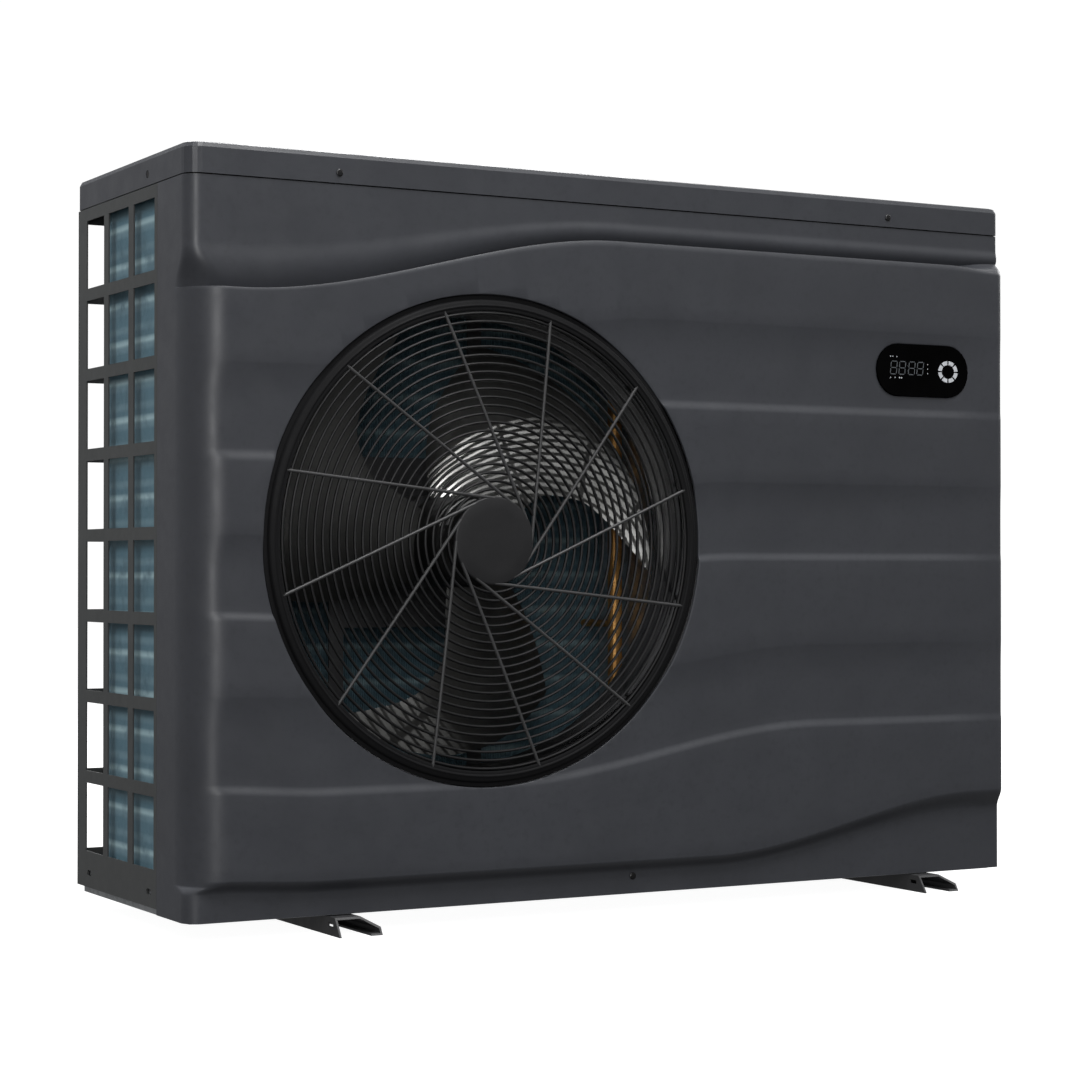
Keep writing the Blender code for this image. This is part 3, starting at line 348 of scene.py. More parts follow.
def drawn_metal(name, colour, tarnish, roughness, streak=(40, 40, 900), depth=0.00002):
    """Bare metal with drawing lines, tarnish clouds and finger marks."""
    look = Look(name, colour, roughness, metallic=1.0)
    look.vary(look.noise(22, 6), tarnish, 0.42, 0.72)
    look.vary(look.noise(160, 3), shade(colour, 0.8), 0.6, 0.8)
    lines = look.noise(1, 3, look.stretched(streak))
    look.shine(lines, roughness - 0.08, roughness + 0.14)
    look.bump(lines, depth, 0.5)
    return look.done()


def spangled(name, colour, roughness):
    """Hot-dip galvanised sheet: crystal spangles of uneven brightness."""
    look = Look(name, colour, roughness, metallic=0.9)
    spangle = look.cells(90, output="Color")
    look.vary(spangle, shade(colour, 0.72), 0.2, 0.9)
    look.vary(look.noise(14, 5), shade(colour, 1.15), 0.5, 0.8)
    look.shine(spangle, roughness - 0.1, roughness + 0.12, 0.1, 0.9)
    look.bump(look.cells(90), 0.00002, 0.3)
    look.bump(look.noise(900, 2), 0.00002, 0.4)
    return look.done()


def rubbery(name, colour, roughness=0.75):
    """Matt rubber with a bloom of dust."""
    look = Look(name, colour, roughness, specular=0.3)
    look.vary(look.noise(50, 5), shade(colour, 1.9), 0.5, 0.85)
    look.shine(look.noise(90, 3), roughness - 0.1, roughness + 0.1)
    look.bump(look.noise(1100, 3), 0.00008, 0.5)
    return look.done()


def solder_mask(name):
    """Circuit board: green mask over copper tracks, with dull joints."""
    green = (0.012, 0.09, 0.035)
    look = Look(name, green, 0.35, coat=0.3)
    tracks = look.node("ShaderNodeTexBrick", Scale=160.0)
    look.link(look.stretched((1, 1, 2.2)), tracks.inputs["Vector"])
    look.vary(tracks.outputs["Fac"], (0.03, 0.16, 0.05), 0.1, 0.9)
    look.vary(look.cells(260), (0.45, 0.45, 0.42), 0.92, 1.0)
    look.shine(look.noise(200, 2), 0.25, 0.5)
    look.bump(tracks.outputs["Fac"], 0.00004, 0.6)
    return look.done()


def fin_look(name):
    """Blue-coated aluminium fins with two sets of lighter horizontal bands at two pitches."""
    blue = (0.100, 0.180, 0.225)
    look = Look(name, blue, 0.45, metallic=0.1)
    wide = (0.0384, (0.330, 0.460, 0.500), 0.80)
    narrow = (0.0192, (0.150, 0.240, 0.285), 0.50)
    for pitch, lighter, start in (wide, narrow):
        rows = look.node("ShaderNodeTexWave", wave_type="BANDS", bands_direction="Z",
                         Scale=math.pi / (10 * pitch), Distortion=0.25, Detail=2.0)
        rows.inputs["Phase Offset"].default_value = 2 * math.pi * (0.25 - (0.6000 / pitch) % 1)
        look.link(look.where, rows.inputs["Vector"])
        look.vary(rows.outputs["Fac"], lighter, start, 1.0)
    look.vary(look.noise(30, 4), (0.085, 0.145, 0.180), 0.5, 0.75)
    look.shine(look.noise(120, 3), 0.35, 0.55)
    look.bump(look.noise(1, 2, look.stretched((60, 60, 520))), 0.00015, 0.6)
    return look.done()


def glass_black(name):
    """Glossy black touch lens with faint finger marks."""
    look = Look(name, (0.0006, 0.0006, 0.0006), 0.10, specular=0.03)
    look.vary(look.noise(18, 3), (0.0014, 0.0014, 0.0016))
    look.shine(look.noise(45, 5), 0.08, 0.16)
    look.bump(look.noise(30, 2), 0.00002, 0.15)
    return look.done()


def print_look(name, colour, glow):
    """Printed or lit marks behind the lens."""
    look = Look(name, colour, 0.5)
    look.vary(look.noise(400, 2), shade(colour, 0.8))
    look.shine(look.noise(300, 2), 0.45, 0.6)
    look.shader.inputs["Emission Color"].default_value = (*colour, 1)
    look.shader.inputs["Emission Strength"].default_value = glow
    return look.done()


SHELL_GREY = (0.0378, 0.0400, 0.0468)
SHEET_GREY = (0.0560, 0.0580, 0.0585)
looks = {
    "shell_grey": moulded("shell_grey", SHELL_GREY, 0.40),
    "sheet_grey": powder_coat("sheet_grey", SHEET_GREY, 0.60, specular=0.12),
    "black_plastic": moulded("black_plastic", (0.018, 0.018, 0.019), 0.45),
    "black_paint": powder_coat("black_paint", (0.040, 0.040, 0.042), 0.42),
    "gloss_black": glass_black("gloss_black"),
    "coated_fins": fin_look("coated_fins"),
    "copper": drawn_metal("copper", (0.80, 0.44, 0.15), (0.46, 0.22, 0.07), 0.48),
    "brass": drawn_metal("brass", (0.70, 0.50, 0.20), (0.34, 0.22, 0.09), 0.32),
    "steel": drawn_metal("steel", (0.50, 0.50, 0.50), (0.28, 0.27, 0.26), 0.34),
    "galvanised_sheet": spangled("galvanised_sheet", (0.52, 0.54, 0.56), 0.42),
    "aluminium": drawn_metal("aluminium", (0.72, 0.73, 0.74), (0.52, 0.53, 0.54), 0.30, (900, 30, 30)),
    "rubber": rubbery("rubber", (0.012, 0.012, 0.012)),
    "white_pvc": moulded("white_pvc", (0.68, 0.68, 0.66), 0.35, depth=0.00002),
    "grey_pvc": moulded("grey_pvc", (0.20, 0.21, 0.22), 0.40, depth=0.00004),
    "circuit_board": solder_mask("circuit_board"),
}
# The fan guard is one black plastic given four tones, lit and shaded copies of one material: the
# spokes' much lighter tone is painted light, the rings' darkest tone is painted shade, and the hub and
# bezel tones sit between, each set to how bright that part looks under the light.
grille_look = moulded("grille_black", (0.006, 0.006, 0.0065), 0.45, specular=0.25)
spoke_painted_light_look = moulded("spoke_painted_light", (0.036, 0.036, 0.037), 0.45)
shroud_look = moulded("shroud_black", (0.007, 0.007, 0.0073), 0.20, specular=0.35)
bezel_look = moulded("bezel_black", (0.010, 0.010, 0.0106), 0.50, specular=0.05)
hub_look = moulded("hub_black", (0.0135, 0.0135, 0.0145), 0.45, specular=0.35)
blade_look = moulded("blade_plastic", (0.105, 0.105, 0.102), 0.52, depth=0.00003, metallic=1.0)
wheel_look = moulded("wheel_hub", (0.012, 0.012, 0.012), 0.55, specular=0.2)
screw_look = drawn_metal("blackened_steel", (0.06, 0.06, 0.062), (0.03, 0.03, 0.03), 0.38)
white_print = print_look("white_print", (0.55, 0.57, 0.60), 0.10)
dim_print = print_look("dim_print", (0.10, 0.11, 0.12), 0.02)

looks["blackened"] = screw_look
for part, node in nodes.items():
    slots = node.data.materials
    name = "blackened" if "screw" in part else slots[0].name.split(".")[0]
    for index in range(len(slots)):
        slots[index] = looks[name]


# ---- Front shell ----
def segments(x):
    """Stretches of the relief from the top edge down: heights and depths at both ends, curve, rows."""
    roll = 0.023 - 0.012 * ease(x, -0.427, -0.017)
    step = line_height(STEP_LINE, x)
    left = 1 - ease(x, *LEFT_END)
    right = ease(x, 0.40, 0.47)
    zero = 0 * x
    full = zero + BULGE
    groove = -0.0045 + 0.0035 * right
    ledge_top = step - 0.0002 + 0.0058 * right
    ledge = step - 0.0005 - 0.0043 * right
    edge = full - 0.0007 - 0.0009 * ease(x, -0.427, -0.017)
    round_end = step - 0.0040 - 0.0030 * ease(x, -0.427, -0.017) - 0.0020 * right
    made = [
        (zero + PANEL_TOP, step + 1.9 * roll, zero - 0.0010, zero - 0.0008, "flat", 6),
        (step + 1.9 * roll, step + 1.05 * roll, zero - 0.0008, zero + 0.0008, "smooth", 7),
        (step + 1.05 * roll, ledge_top, zero + 0.0008, groove, "ease_in", 14),
        (ledge_top, ledge, groove, edge, "smooth", 7),
        (ledge, round_end, edge, full, "ease_out", 8),
    ]
    depth = RECESS * (1 - 0.65 * ease(x, 0.38, 0.47))
    above = round_end
    for band, lifts in zip(BANDS, BAND_LIFTS):
        top, low, foot = (line_height(line, x) + lift * left for line, lift in zip(band, lifts))
        half = top - 0.5 * (top - low)
        made.append((above, top, full, full, "flat", 5))
        made.append((top, half, full, full - depth, "ease_out", 8))
        made.append((half, low, full - depth, full - depth, "flat", 5))
        made.append((low, foot, full - depth, full, "smooth", 9))
        above = foot
    bottom = line_height(BOTTOM_LINE, x) + 0.005 * left
    reach = 0.0115 + 0.0075 * ease(x, 0.098, 0.436)
    made.append((above, bottom + 0.002, full, full, "flat", 7))
    made.append((bottom + 0.002, bottom - reach, full, zero, "smooth", 14))
    made.append((bottom - reach, zero + PANEL_BOTTOM, zero, zero, "flat", 6))
    return made


def relief(x):
    """Rows of heights and depths down the front for each x."""
    heights = []
    depths = []
    for above, below, start, end, curve, rows in segments(x):
        for row in range(rows):
            t = row / rows
            if curve == "ease_out":
                t = t ** 1.4
            share = {"flat": t, "smooth": t * t * (3 - 2 * t), "ease_out": 1 - (1 - t) ** 2,
                     "ease_in": t ** 2.2}[curve]
            heights.append(above + (below - above) * t)
            depths.append(start + (end - start) * share)
    heights.append(0 * x + PANEL_BOTTOM)
    depths.append(0 * x)
    return np.array(heights), np.array(depths)


def shell_grid(inset):
    """Points of the shell, rows by columns, at a distance inside its outer face."""
    margin = sum(CORNER_ACROSS)
    flat = np.linspace(-HALF + margin + 0.001, HALF - sum(TIGHT_CORNER) - 0.001, 198)
    columns = []
    left_z, left_d = relief(np.array([-HALF + margin]))
    right_z, right_d = relief(np.array([HALF - sum(TIGHT_CORNER)]))

    def corner(z, depth, side, angle):
        share = np.maximum(depth, 0) / BULGE
        if side > 0:
            across = back = TIGHT_CORNER[0] + TIGHT_CORNER[1] * share - inset
        else:
            step = STEP_LINE[0]
            near = (1 - ease(z, step, step + 0.040)) * ease(z, step - 0.05, step - 0.01)
            across = CORNER_ACROSS[0] + CORNER_ACROSS[1] * np.maximum(share, near) - inset
            blend = np.maximum(near, np.minimum(share / 0.6, 1))
            back = CORNER_BACK[0] + (CORNER_BACK[1] + depth - CORNER_BACK[0]) * blend - inset
        x = HALF - inset - across + across * math.cos(angle)
        y = FRONT - depth + inset + back - back * math.sin(angle)
        return np.stack([side * x, y, z], 1)

    def straight(z, depth, side, share):
        start = corner(z, depth, side, 0)
        start[:, 1] = RETURN_Y + (start[:, 1] - RETURN_Y) * share
        return start
    for share in (0, 0.25, 0.5, 0.75):
        columns.append(straight(left_z[:, 0], left_d[:, 0], -1, share))
    for k in range(19):
        columns.append(corner(left_z[:, 0], left_d[:, 0], -1, math.pi / 2 * k / 18))
    heights, depths = relief(flat)
    for i, x in enumerate(flat):
        place = [0 * heights[:, i] + x, FRONT - depths[:, i] + inset, heights[:, i]]
        columns.append(np.stack(place, 1))
    for k in range(18, -1, -1):
        columns.append(corner(right_z[:, 0], right_d[:, 0], 1, math.pi / 2 * k / 18))
    for share in (0.75, 0.5, 0.25, 0):
        columns.append(straight(right_z[:, 0], right_d[:, 0], 1, share))
    return np.stack(columns, 1)


def fan_distance(x, z):
    """Distance outside the fan's hole, negative inside it."""
    return np.hypot(x - FAN_X, z - FAN_Z) - FAN_HOLE - HOLE_GAP


def panel_distance(x, z):
    """Distance outside the touch panel's pill-shaped hole, negative inside it."""
    radius = PANEL_SIZE[1] / 2
    reach = PANEL_SIZE[0] / 2 - radius
    beyond = np.maximum(np.abs(x - PANEL_X) - reach, 0)
    return np.hypot(beyond, z - PANEL_Z) - radius - HOLE_GAP


def towards_hole(distance, x, z):
    """The direction in the front's plane that leads into a hole."""
    step = 1e-5
    dx = (distance(x + step, z) - distance(x - step, z)) / (2 * step)
    dz = (distance(x, z + step) - distance(x, z - step)) / (2 * step)
    return -dx, -dz


def cut_hole(outer, inner, quads, distance):
    """Clips the faces to the outside of a hole; returns them and the vertices on the hole's edge."""
    gap = np.array([distance(p[0], p[2]) if p[1] < FRONT + 0.01 else 1.0 for p in outer])
    for i in np.nonzero(np.abs(gap) < HOLE_SNAP)[0]:
        dx, dz = towards_hole(distance, outer[i][0], outer[i][2])
        for p in (outer[i], inner[i]):
            p[0] += dx * gap[i]
            p[2] += dz * gap[i]
        gap[i] = 0
    rim = set(int(i) for i in np.nonzero(gap == 0)[0])
    made = {}
    kept = []
    for quad in quads:
        inside = [gap[i] < 0 for i in quad]
        if not any(inside):
            kept.append(quad)
            continue
        shape = []
        for a, b in zip(quad, quad[1:] + quad[:1]):
            if gap[a] >= 0:
                shape.append(a)
            if gap[a] * gap[b] < 0:
                key = (min(a, b), max(a, b))
                if key not in made:
                    low, high = 0.0, 1.0
                    first, second = outer[key[0]], outer[key[1]]
                    sign = gap[key[0]]
                    for _ in range(24):
                        middle = (low + high) / 2
                        spot = first + (second - first) * middle
                        if distance(spot[0], spot[2]) * sign > 0:
                            low = middle
                        else:
                            high = middle
                    made[key] = len(outer)
                    rim.add(len(outer))
                    outer.append(first + (second - first) * low)
                    inner.append(inner[key[0]] + (inner[key[1]] - inner[key[0]]) * low)
                    gap = np.append(gap, 0.0)
                shape.append(made[key])
        if len(shape) > 2 and any(gap[i] > 0 for i in shape):
            kept.append(tuple(shape))
    return kept, rim


def front_shell():
    """The moulded front: an outer and an inner skin joined at the edges and round both holes."""
    outer_grid = shell_grid(0.0)
    inner_grid = shell_grid(SHELL)
    rows, columns = outer_grid.shape[:2]
    outer = [p.copy() for p in outer_grid.reshape(-1, 3)]
    inner = [p.copy() for p in inner_grid.reshape(-1, 3)]
    quads = []
    for r in range(rows - 1):
        for c in range(columns - 1):
            i = r * columns + c
            quads.append((i, i + columns, i + columns + 1, i + 1))
    holes = []
    for distance in (fan_distance, panel_distance):
        quads, rim = cut_hole(outer, inner, quads, distance)
        holes.append((distance, rim))
    used = {}
    for face in quads:
        used.update(((a, b), True) for a, b in zip(face, face[1:] + face[:1]))
    open_edges = [(a, b) for a, b in used if (b, a) not in used]
    piece = Build()
    verts = list(outer)
    count = len(verts)
    for distance, rim in holes:
        for i in rim:
            dx, dz = towards_hole(distance, inner[i][0], inner[i][2])
            inner[i] = inner[i] + np.array([dx * HOLE_GAP, 0, dz * HOLE_GAP])
    verts += list(inner)
    faces = list(quads) + [tuple(i + count for i in reversed(face)) for face in quads]
    ring = {}

    def lip(i, distance, inward, back):
        key = (i, inward)
        if key not in ring:
            dx, dz = towards_hole(distance, verts[i][0], verts[i][2])
            ring[key] = len(verts)
            verts.append(verts[i] + np.array([dx * inward, back, dz * inward]))
        return ring[key]
    for a, b in open_edges:
        hole = next((d for d, rim in holes if a in rim and b in rim), None)
        if hole is None:
            faces.append((b, a, a + count, b + count))
            continue
        chains = [[i, lip(i, hole, 0.00045, 0.00015), lip(i, hole, 0.00079, 0.00060), i + count]
                  for i in (a, b)]
        for k in range(3):
            faces.append((chains[1][k], chains[0][k], chains[0][k + 1], chains[1][k + 1]))
    piece.add(verts, faces)
    shell = piece.done("front_shell", looks["shell_grey"], 50, slot="shell_grey")
    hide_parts("front_panel")


front_shell()


# ---- Fan grille, shroud and wheel ----
def spoke_angle(radius):
    """Angle of a straight spoke that leaves the hub at a tangent."""
    return SPOKE_ANGLE - math.acos(SPOKE_TANGENT / RIM_INNER) + math.acos(SPOKE_TANGENT / radius)


def dome(radius):
    """Y of the grille's face, which bulges forward in the middle."""
    return GRILLE_FRONT - GRILLE_DOME * (1 - (radius / GRILLE_EDGE) ** 2)


def around(radius, y, steps):
    return [(FAN_X + radius * math.cos(2 * math.pi * k / steps), y,
             FAN_Z + radius * math.sin(2 * math.pi * k / steps)) for k in range(steps)]


def grille():
    """Bezel, rings, swirled spokes and flat hub of the fan guard."""
    piece = Build()
    bezel = [
        (0.2262, -0.1600), (0.2258, -0.1655), (0.2262, -0.1664), (0.2275, -0.1669),
        (0.2290, -0.1667), (0.2297, -0.1672), (0.2303, -0.1676), (0.2310, -0.1676),
        (0.2316, -0.1670), (0.2325, -0.1665), (0.2345, -0.1659), (0.2358, -0.1652),
        (0.2366, -0.1640), (0.2369, -0.1620), (0.2372, -0.1612), (0.2410, -0.1610),
        (0.2414, -0.1606), (0.2414, -0.1598), (0.2265, -0.1598),
    ]
    piece.slot = 3
    piece.turned(bezel, 240)
    piece.slot = 0
    first, last = RING_ENDS
    for k in range(GRILLE_RINGS):
        radius = first + (last - first) * k / (GRILLE_RINGS - 1)
        piece.tube(around(radius, dome(radius) + 0.0026, 144), RING_WIRE, 8, 1.25, closed=True)
    piece.slot = 1
    inner, outer = SPOKE_ENDS
    for k in range(SPOKES):
        turn = 2 * math.pi * k / SPOKES
        path = []
        for step in range(SPOKE_STEPS + 1):
            radius = inner + (outer - inner) * (step / SPOKE_STEPS) ** 1.15
            angle = turn + spoke_angle(radius)
            path.append((FAN_X + radius * math.cos(angle), dome(radius) + 0.0020,
                         FAN_Z + radius * math.sin(angle)))
        piece.tube(path, SPOKE_WIRE, 10, 1.15)
    piece.slot = 2
    front = dome(0.03)
    hub = [(0.0, front), (0.030, front + 0.00005), (0.0415, front + 0.0002), (0.0428, front + 0.0006),
           (0.0434, front + 0.0014), (0.0434, front + 0.0050), (0.0405, front + 0.0050),
           (0.0400, front + 0.0030), (0.0, front + 0.0030)]
    piece.turned(hub, 96)
    # One plastic in four tones: the lighter spokes are painted light, the darker rings painted shade.
    finish = [grille_look, spoke_painted_light_look, hub_look, bezel_look]
    made = piece.done("grille", finish, 40, slot="black_plastic")
    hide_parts("fan_grille")


def shroud():
    """The flanged ring round the wheel."""
    piece = Build()
    profile = [
        (0.2560, -0.1588), (0.2560, -0.1563), (0.2330, -0.1563), (0.2305, -0.1552),
        (0.2286, -0.1530), (0.2276, -0.1500), (0.2262, -0.1050), (0.2235, -0.1050),
        (0.2235, -0.1480), (0.2245, -0.1520), (0.2265, -0.1560), (0.2280, -0.1576),
        (0.2300, -0.1588),
    ]
    piece.turned(profile, 200)
    made = piece.done("shroud", shroud_look, 40, slot="black_plastic")
    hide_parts("fan_shroud")


def along(table, radius):
    """Value of a table at a radius, with its corners rounded off."""
    xs = [row[0] for row in table]
    ys = [row[1] for row in table]
    fine = np.linspace(xs[0], xs[-1], 200)
    values = np.interp(fine, xs, ys)
    kernel = np.hanning(25)
    padded = np.pad(values, 12, mode="reflect", reflect_type="odd")
    smooth = np.convolve(padded, kernel / kernel.sum(), mode="valid")
    return float(np.interp(radius, fine, smooth))


def blade(piece, turn):
    """A swept sheet with rounded edges, thicker at its root."""
    rows = 34
    columns = 26
    front = []
    back = []
    for r in range(rows + 1):
        radius = BLADE_ROOT + (BLADE_TIP - BLADE_ROOT) * r / rows
        start = math.radians(along(TRAILING_ANGLE, radius))
        end = math.radians(along(LEADING_ANGLE, radius))
        fore = along(TRAILING_Y, radius)
        rear = along(LEADING_Y, radius)
        line = []
        other = []
        for c in range(columns + 1):
            chord = c / columns
            angle = turn + start + (end - start) * chord
            camber = BLADE_CAMBER * (1 - (2 * chord - 1) ** 2)
            y = fore + (rear - fore) * chord - camber
            edge = min(min(chord, 1 - chord) * columns / 1.5, (rows - r) / 1.5 + 0.1, 1)
            half = BLADE_HALF * max(0.25, math.sqrt(max(edge, 0.0)))
            x = FAN_X + radius * math.cos(angle)
            z = FAN_Z + radius * math.sin(angle)
            middle = y + BLADE_HALF
            line.append((x, middle - half, z))
            other.append((x, middle + half, z))
        front.append(line)
        back.append(other)
    loops = [f + b[::-1] for f, b in zip(front, back)]
    piece.loops(loops)


def impeller():
    """The fan wheel: a bored hub with swept blades."""
    piece = Build()
    hub = [
        (0.0064, -0.1318), (0.0100, -0.1320), (0.0120, -0.1312), (0.0330, -0.1312),
        (0.0370, -0.1320), (0.0405, -0.1312), (0.0440, -0.1280), (0.0458, -0.1240),
        (0.0460, -0.1200), (0.0460, -0.0604), (0.0450, -0.0600), (0.0064, -0.0600),
    ]
    piece.turned(hub, 96)
    piece.slot = 1
    for k in range(BLADES):
        blade(piece, 2 * math.pi * k / BLADES)
    made = piece.done("impeller", [wheel_look, blade_look], 40, body="fan", slot="black_plastic")
    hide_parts("fan_impeller")


grille()
shroud()
impeller()


# ---- Finned coil ----
def add_fin(piece, spot, through, bottom, top):
    """A thin upright plate at spot (x, y); through points from one face of the coil to the other."""
    depth = COIL_THICK - 0.002
    corners = []
    for s, t in ((-1, -1), (1, -1), (1, 1), (-1, 1)):
        corners.append((spot[0] + through[0] * depth / 2 * t - through[1] * FIN_HALF * s,
                        spot[1] + through[1] * depth / 2 * t + through[0] * FIN_HALF * s))
    piece.loops([[(a, b, z) for a, b in corners] for z in (bottom, top)])


def coil():
    """Stacked fins along the left side and the back, on rows of copper tube."""
    low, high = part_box("evaporator_coil")
    left, front_end = low.x, low.y + COIL_TRIM
    right, rear = high.x, high.y
    centre = (left + COIL_BEND, rear - COIL_BEND)
    middle = COIL_BEND - COIL_THICK / 2
    bottom, top = low.z + 0.0005, high.z - 0.0005
    fins = Build()
    y = front_end + 0.001
    while y < centre[1]:
        add_fin(fins, (left + COIL_THICK / 2, y), (1, 0), bottom, top)
        y += FIN_PITCH
    steps = int(math.pi / 2 * middle / FIN_PITCH)
    for k in range(steps + 1):
        angle = math.pi - math.pi / 2 * k / steps
        through = (math.cos(angle), math.sin(angle))
        spot = (centre[0] + middle * through[0], centre[1] + middle * through[1])
        add_fin(fins, spot, through, bottom, top)
    x = centre[0] + FIN_PITCH
    while x < right - 0.001:
        add_fin(fins, (x, rear - COIL_THICK / 2), (0, 1), bottom, top)
        x += FIN_PITCH
    block = fins.done("finned_coil", looks["coated_fins"], 30, slot="coated_fins")
    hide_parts("evaporator_coil")
    tubes = Build()
    for row in range(TUBE_ROWS):
        z = bottom + 0.012 + (top - bottom - 0.024) * row / (TUBE_ROWS - 1)
        for inset, lift in TUBE_BANKS:
            path = [(left + inset, front_end + 0.0035, z + lift), (left + inset, centre[1], z + lift)]
            radius = COIL_BEND - inset
            for step in range(1, 9):
                angle = math.pi - math.pi / 2 * step / 8
                path.append((centre[0] + radius * math.cos(angle),
                             centre[1] + radius * math.sin(angle), z + lift))
            path.append((right - 0.0005, rear - inset, z + lift))
            tubes.tube(path, TUBE_RADIUS, 8)
    tubes.done("coil_tubes", looks["copper"], 40, slot="copper")


coil()


# ---- Touch panel marks ----
def flat_shape(piece, points, y, thick=0.00008):
    """A thin raised patch on the lens; points run around it in (x, z)."""
    piece.loops([[(x, y, z) for x, z in points], [(x, y - thick, z) for x, z in points]])


def bar(x0, z0, x1, z1, width):
    """Outline of a stroke with pointed ends, in (x, z)."""
    dx, dz = x1 - x0, z1 - z0
    length = math.hypot(dx, dz)
    ax, az = dx / length, dz / length
    nx, nz = -az * width / 2, ax * width / 2
    tip = width / 2
    near = (x0 + ax * tip, z0 + az * tip)
    far = (x1 - ax * tip, z1 - az * tip)
    return [(x0, z0), (near[0] + nx, near[1] + nz), (far[0] + nx, far[1] + nz),
            (x1, z1), (far[0] - nx, far[1] - nz), (near[0] - nx, near[1] - nz)]


def digit_strokes(x, z):
    """The seven slanted strokes of a digit whose lower left corner is (x, z)."""
    width, height = DIGIT_SIZE
    mid, top = z + height / 2, z + height
    first, second = x + DIGIT_SLANT, x + 2 * DIGIT_SLANT
    return [(x, z, x + width, z), (first, mid, first + width, mid), (second, top, second + width, top),
            (x, z, first, mid), (first, mid, second, top),
            (x + width, z, first + width, mid), (first + width, mid, second + width, top)]


def panel_digits(face):
    """Four digit frames and a colon, all dim."""
    dim = Build()
    for k in range(4):
        x = PANEL_X - 0.0440 + k * DIGIT_PITCH + (0.0014 if k > 1 else 0)
        z = PANEL_Z - DIGIT_SIZE[1] / 2 + 0.0022
        for a, b, c, d in digit_strokes(x, z):
            in_x, in_z = (c - a) * STROKE_TRIM, (d - b) * STROKE_TRIM
            flat_shape(dim, bar(a + in_x, b + in_z, c - in_x, d - in_z, 0.0009), face)
    for z in (-0.001, 0.005):
        level = PANEL_Z + z
        flat_shape(dim, bar(PANEL_X - 0.0214, level, PANEL_X - 0.0206, level, 0.0008), face)
    dim.done("panel_digits", dim_print, slot="gloss_black")


def panel_icons(face):
    """Small lit dots above, below and beside the digits."""
    small = Build()
    spots = [
        (-0.0435, 0.0142, 0.0016), (-0.0405, 0.0142, 0.0012), (-0.0350, 0.0142, 0.0012),
        (-0.0435, -0.0085, 0.0013), (-0.0375, -0.0085, 0.0013), (-0.0315, -0.0085, 0.0018),
        (-0.0290, -0.0085, 0.0018), (0.0062, 0.0070, 0.0012), (0.0062, 0.0020, 0.0012),
        (0.0062, -0.0030, 0.0012),
    ]
    for x, z, size in spots:
        points = []
        for k in range(6):
            angle = k * math.pi / 3
            points.append((PANEL_X + x + size / 2 * math.cos(angle),
                           PANEL_Z + z + size / 2 * math.sin(angle)))
        flat_shape(small, points, face)
    small.done("panel_icons", white_print, slot="gloss_black")


def panel_ring(face):
    """The divided ring round the touch key."""
    ring = Build()
    offset, wide, high, inner_wide, inner_high = TOUCH_RING
    x, z = PANEL_X + offset, PANEL_Z
    for k in range(TOUCH_SECTORS):
        start = 2 * math.pi * (k + 0.10) / TOUCH_SECTORS
        end = 2 * math.pi * (k + 0.90) / TOUCH_SECTORS
        angles = [start + (end - start) * step / 6 for step in range(7)]
        points = [(x + wide * math.cos(a), z + high * math.sin(a)) for a in angles]
        points += [(x + inner_wide * math.cos(a), z + inner_high * math.sin(a)) for a in angles[::-1]]
        flat_shape(ring, points, face)
    ring.done("panel_ring", white_print, slot="gloss_black")


lens_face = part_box("control_lens")[0].y
panel_digits(lens_face)
panel_icons(lens_face)
panel_ring(lens_face)


# ---- Stage ----
def pale_floor():
    """A plain pale floor, which nothing reflects."""
    size = FLOOR_HALF
    mesh = bpy.data.meshes.new("floor")
    corners = [(-size, -size, 0), (size, -size, 0), (size, size, 0), (-size, size, 0)]
    mesh.from_pydata(corners, [], [(0, 1, 2, 3)])
    floor = bpy.data.objects.new("floor", mesh)
    scene.collection.objects.link(floor)
    pale = Look("pale_floor", (0.30, 0.30, 0.30), 0.9, specular=0.0)
    pale.vary(pale.noise(2, 2), (0.32, 0.32, 0.32))
    pale.shader.inputs["Emission Color"].default_value = (1, 1, 1, 1)
    pale.shader.inputs["Emission Strength"].default_value = 0.95
    mesh.materials.append(pale.done())
    floor.visible_diffuse = False
    floor.visible_glossy = False


def studio():
    """Soft surroundings, brighter overhead, with a plain white backdrop."""
    world = bpy.data.worlds.new("studio")
    scene.world = world
    world.use_nodes = True
    tree = world.node_tree
    sky = tree.nodes["Background"]
    where = tree.nodes.new("ShaderNodeTexCoord")
    split = tree.nodes.new("ShaderNodeSeparateXYZ")
    tree.links.new(where.outputs["Generated"], split.inputs["Vector"])
    level = tree.nodes.new("ShaderNodeMapRange")
    limits = {"From Min": -0.15, "From Max": 0.75, "To Min": 0.15, "To Max": 0.60}
    for key, number in limits.items():
        level.inputs[key].default_value = number
    tree.links.new(split.outputs["Z"], level.inputs["Value"])
    tree.links.new(level.outputs["Result"], sky.inputs["Strength"])
    sky.inputs["Color"].default_value = (1, 1, 1, 1)
    seen = tree.nodes.new("ShaderNodeBackground")
    seen.inputs["Color"].default_value = (1, 1, 1, 1)
    seen.inputs["Strength"].default_value = 1.05
    path = tree.nodes.new("ShaderNodeLightPath")
    mix = tree.nodes.new("ShaderNodeMixShader")
    tree.links.new(path.outputs["Is Camera Ray"], mix.inputs["Fac"])
    tree.links.new(sky.outputs["Background"], mix.inputs[1])
    tree.links.new(seen.outputs["Background"], mix.inputs[2])
    tree.links.new(mix.outputs["Shader"], tree.nodes["World Output"].inputs["Surface"])


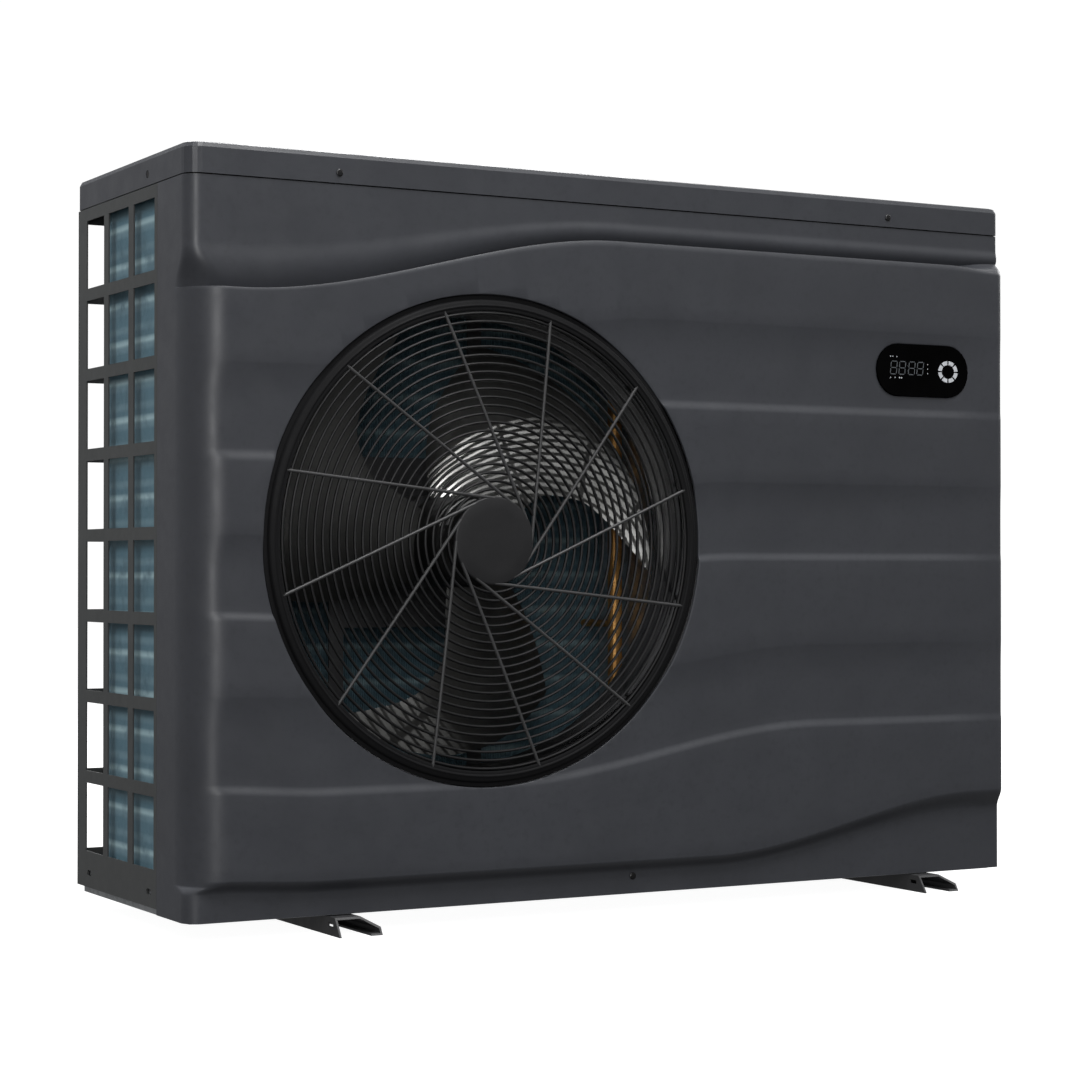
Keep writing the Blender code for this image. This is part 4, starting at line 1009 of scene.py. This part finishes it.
def place_lamp(name, data, place, facing, only):
    """Hangs a lamp at place, turned to face along facing; only names the pieces it lights."""
    lamp = bpy.data.objects.new(name, data)
    lamp.location = place
    lamp.rotation_euler = facing.to_track_quat("-Z", "Y").to_euler()
    lamp.visible_camera = False
    scene.collection.objects.link(lamp)
    if only:
        chosen = bpy.data.collections.new(name + "_receivers")
        for piece in only:
            chosen.objects.link(bpy.data.objects[piece])
        lamp.light_linking.receiver_collection = chosen
    return lamp


def soft_light(name, place, target, size, power, only=()):
    """A rectangular lamp of size (width, height) in metres."""
    data = bpy.data.lights.new(name, "AREA")
    data.shape = "RECTANGLE"
    data.size, data.size_y = size
    data.energy = power
    return place_lamp(name, data, place, Vector(target) - Vector(place), only)


def spot_light(name, aim, reach, power):
    """A narrow lamp on the upper left that lights one place on the fan wheel."""
    data = bpy.data.lights.new(name, "SPOT")
    data.energy = power
    data.spot_size = 2 * math.atan(reach / SPOT_DISTANCE)
    data.spot_blend = 0.25
    data.shadow_soft_size = 0.012
    away = UPPER_LEFT.normalized() * SPOT_DISTANCE
    place_lamp(name, data, Vector(aim) + away, -away, ("impeller", "fan_nut"))


def lamps():
    """Lamps for the fan, the coil and the casing, in that order."""
    fan = Vector((FAN_X, -0.12, FAN_Z))
    spot_light("key", (FAN_X + 0.095, -0.098, FAN_Z + 0.030), 0.105, 2350)
    spot_light("tip", (FAN_X - 0.070, -0.098, FAN_Z - 0.190), 0.045, 2700)
    soft_light("lip", (-0.267, -0.47, 0.09), (0.017, -0.15, 0.506), (0.07, 0.07), 16, ["shroud"])
    soft_light("header", fan + UPPER_LEFT * 2.0, fan, (0.5, 0.5), 15, ["coil_header"])
    soft_light("fins", (-3.0, -1.6, 2.4), (-0.47, 0.0, 0.45), (1.5, 1.5), 70,
               ["finned_coil", "coil_tubes"])
    soft_light("overhead", (0.1, -1.90, 4.4), (0.0, -0.1, 0.4), (2.2, 2.2), 168)
    soft_light("strip", (-1.75, -3.15, 1.15), (-0.4, -0.1, 0.4), (0.6, 2.2), 38)
    side = soft_light("side", (-1.7, 1.6, 2.4), (-0.477, 0.0, 0.45), (1.3, 1.3), 84,
                      ["left_side_panel", "top_cover", "front_shell", "left_foot_rail"])
    side.visible_glossy = False
    soft_light("back", (1.2, 2.8, 2.4), (0.0, 0.0, 0.4), (1.6, 1.6), 60)
    soft_light("right", (2.8, 0.3, 1.8), (0.4, 0.0, 0.4), (1.4, 1.4), 40)


def main_camera():
    """A long lens, level with the middle of the unit, on its front left."""
    data = bpy.data.cameras.new("camera")
    data.lens = 85.586
    data.sensor_width = 36
    eye = bpy.data.objects.new("camera", data)
    eye.location = (-1.3471, -2.3898, 0.349)
    eye.rotation_euler = (math.radians(90.63), 0, math.radians(-29.09))
    scene.collection.objects.link(eye)
    scene.camera = eye


scene = bpy.context.scene
scene.view_settings.view_transform = "Standard"
scene.view_settings.look = "None"
pale_floor()
studio()
lamps()
main_camera()
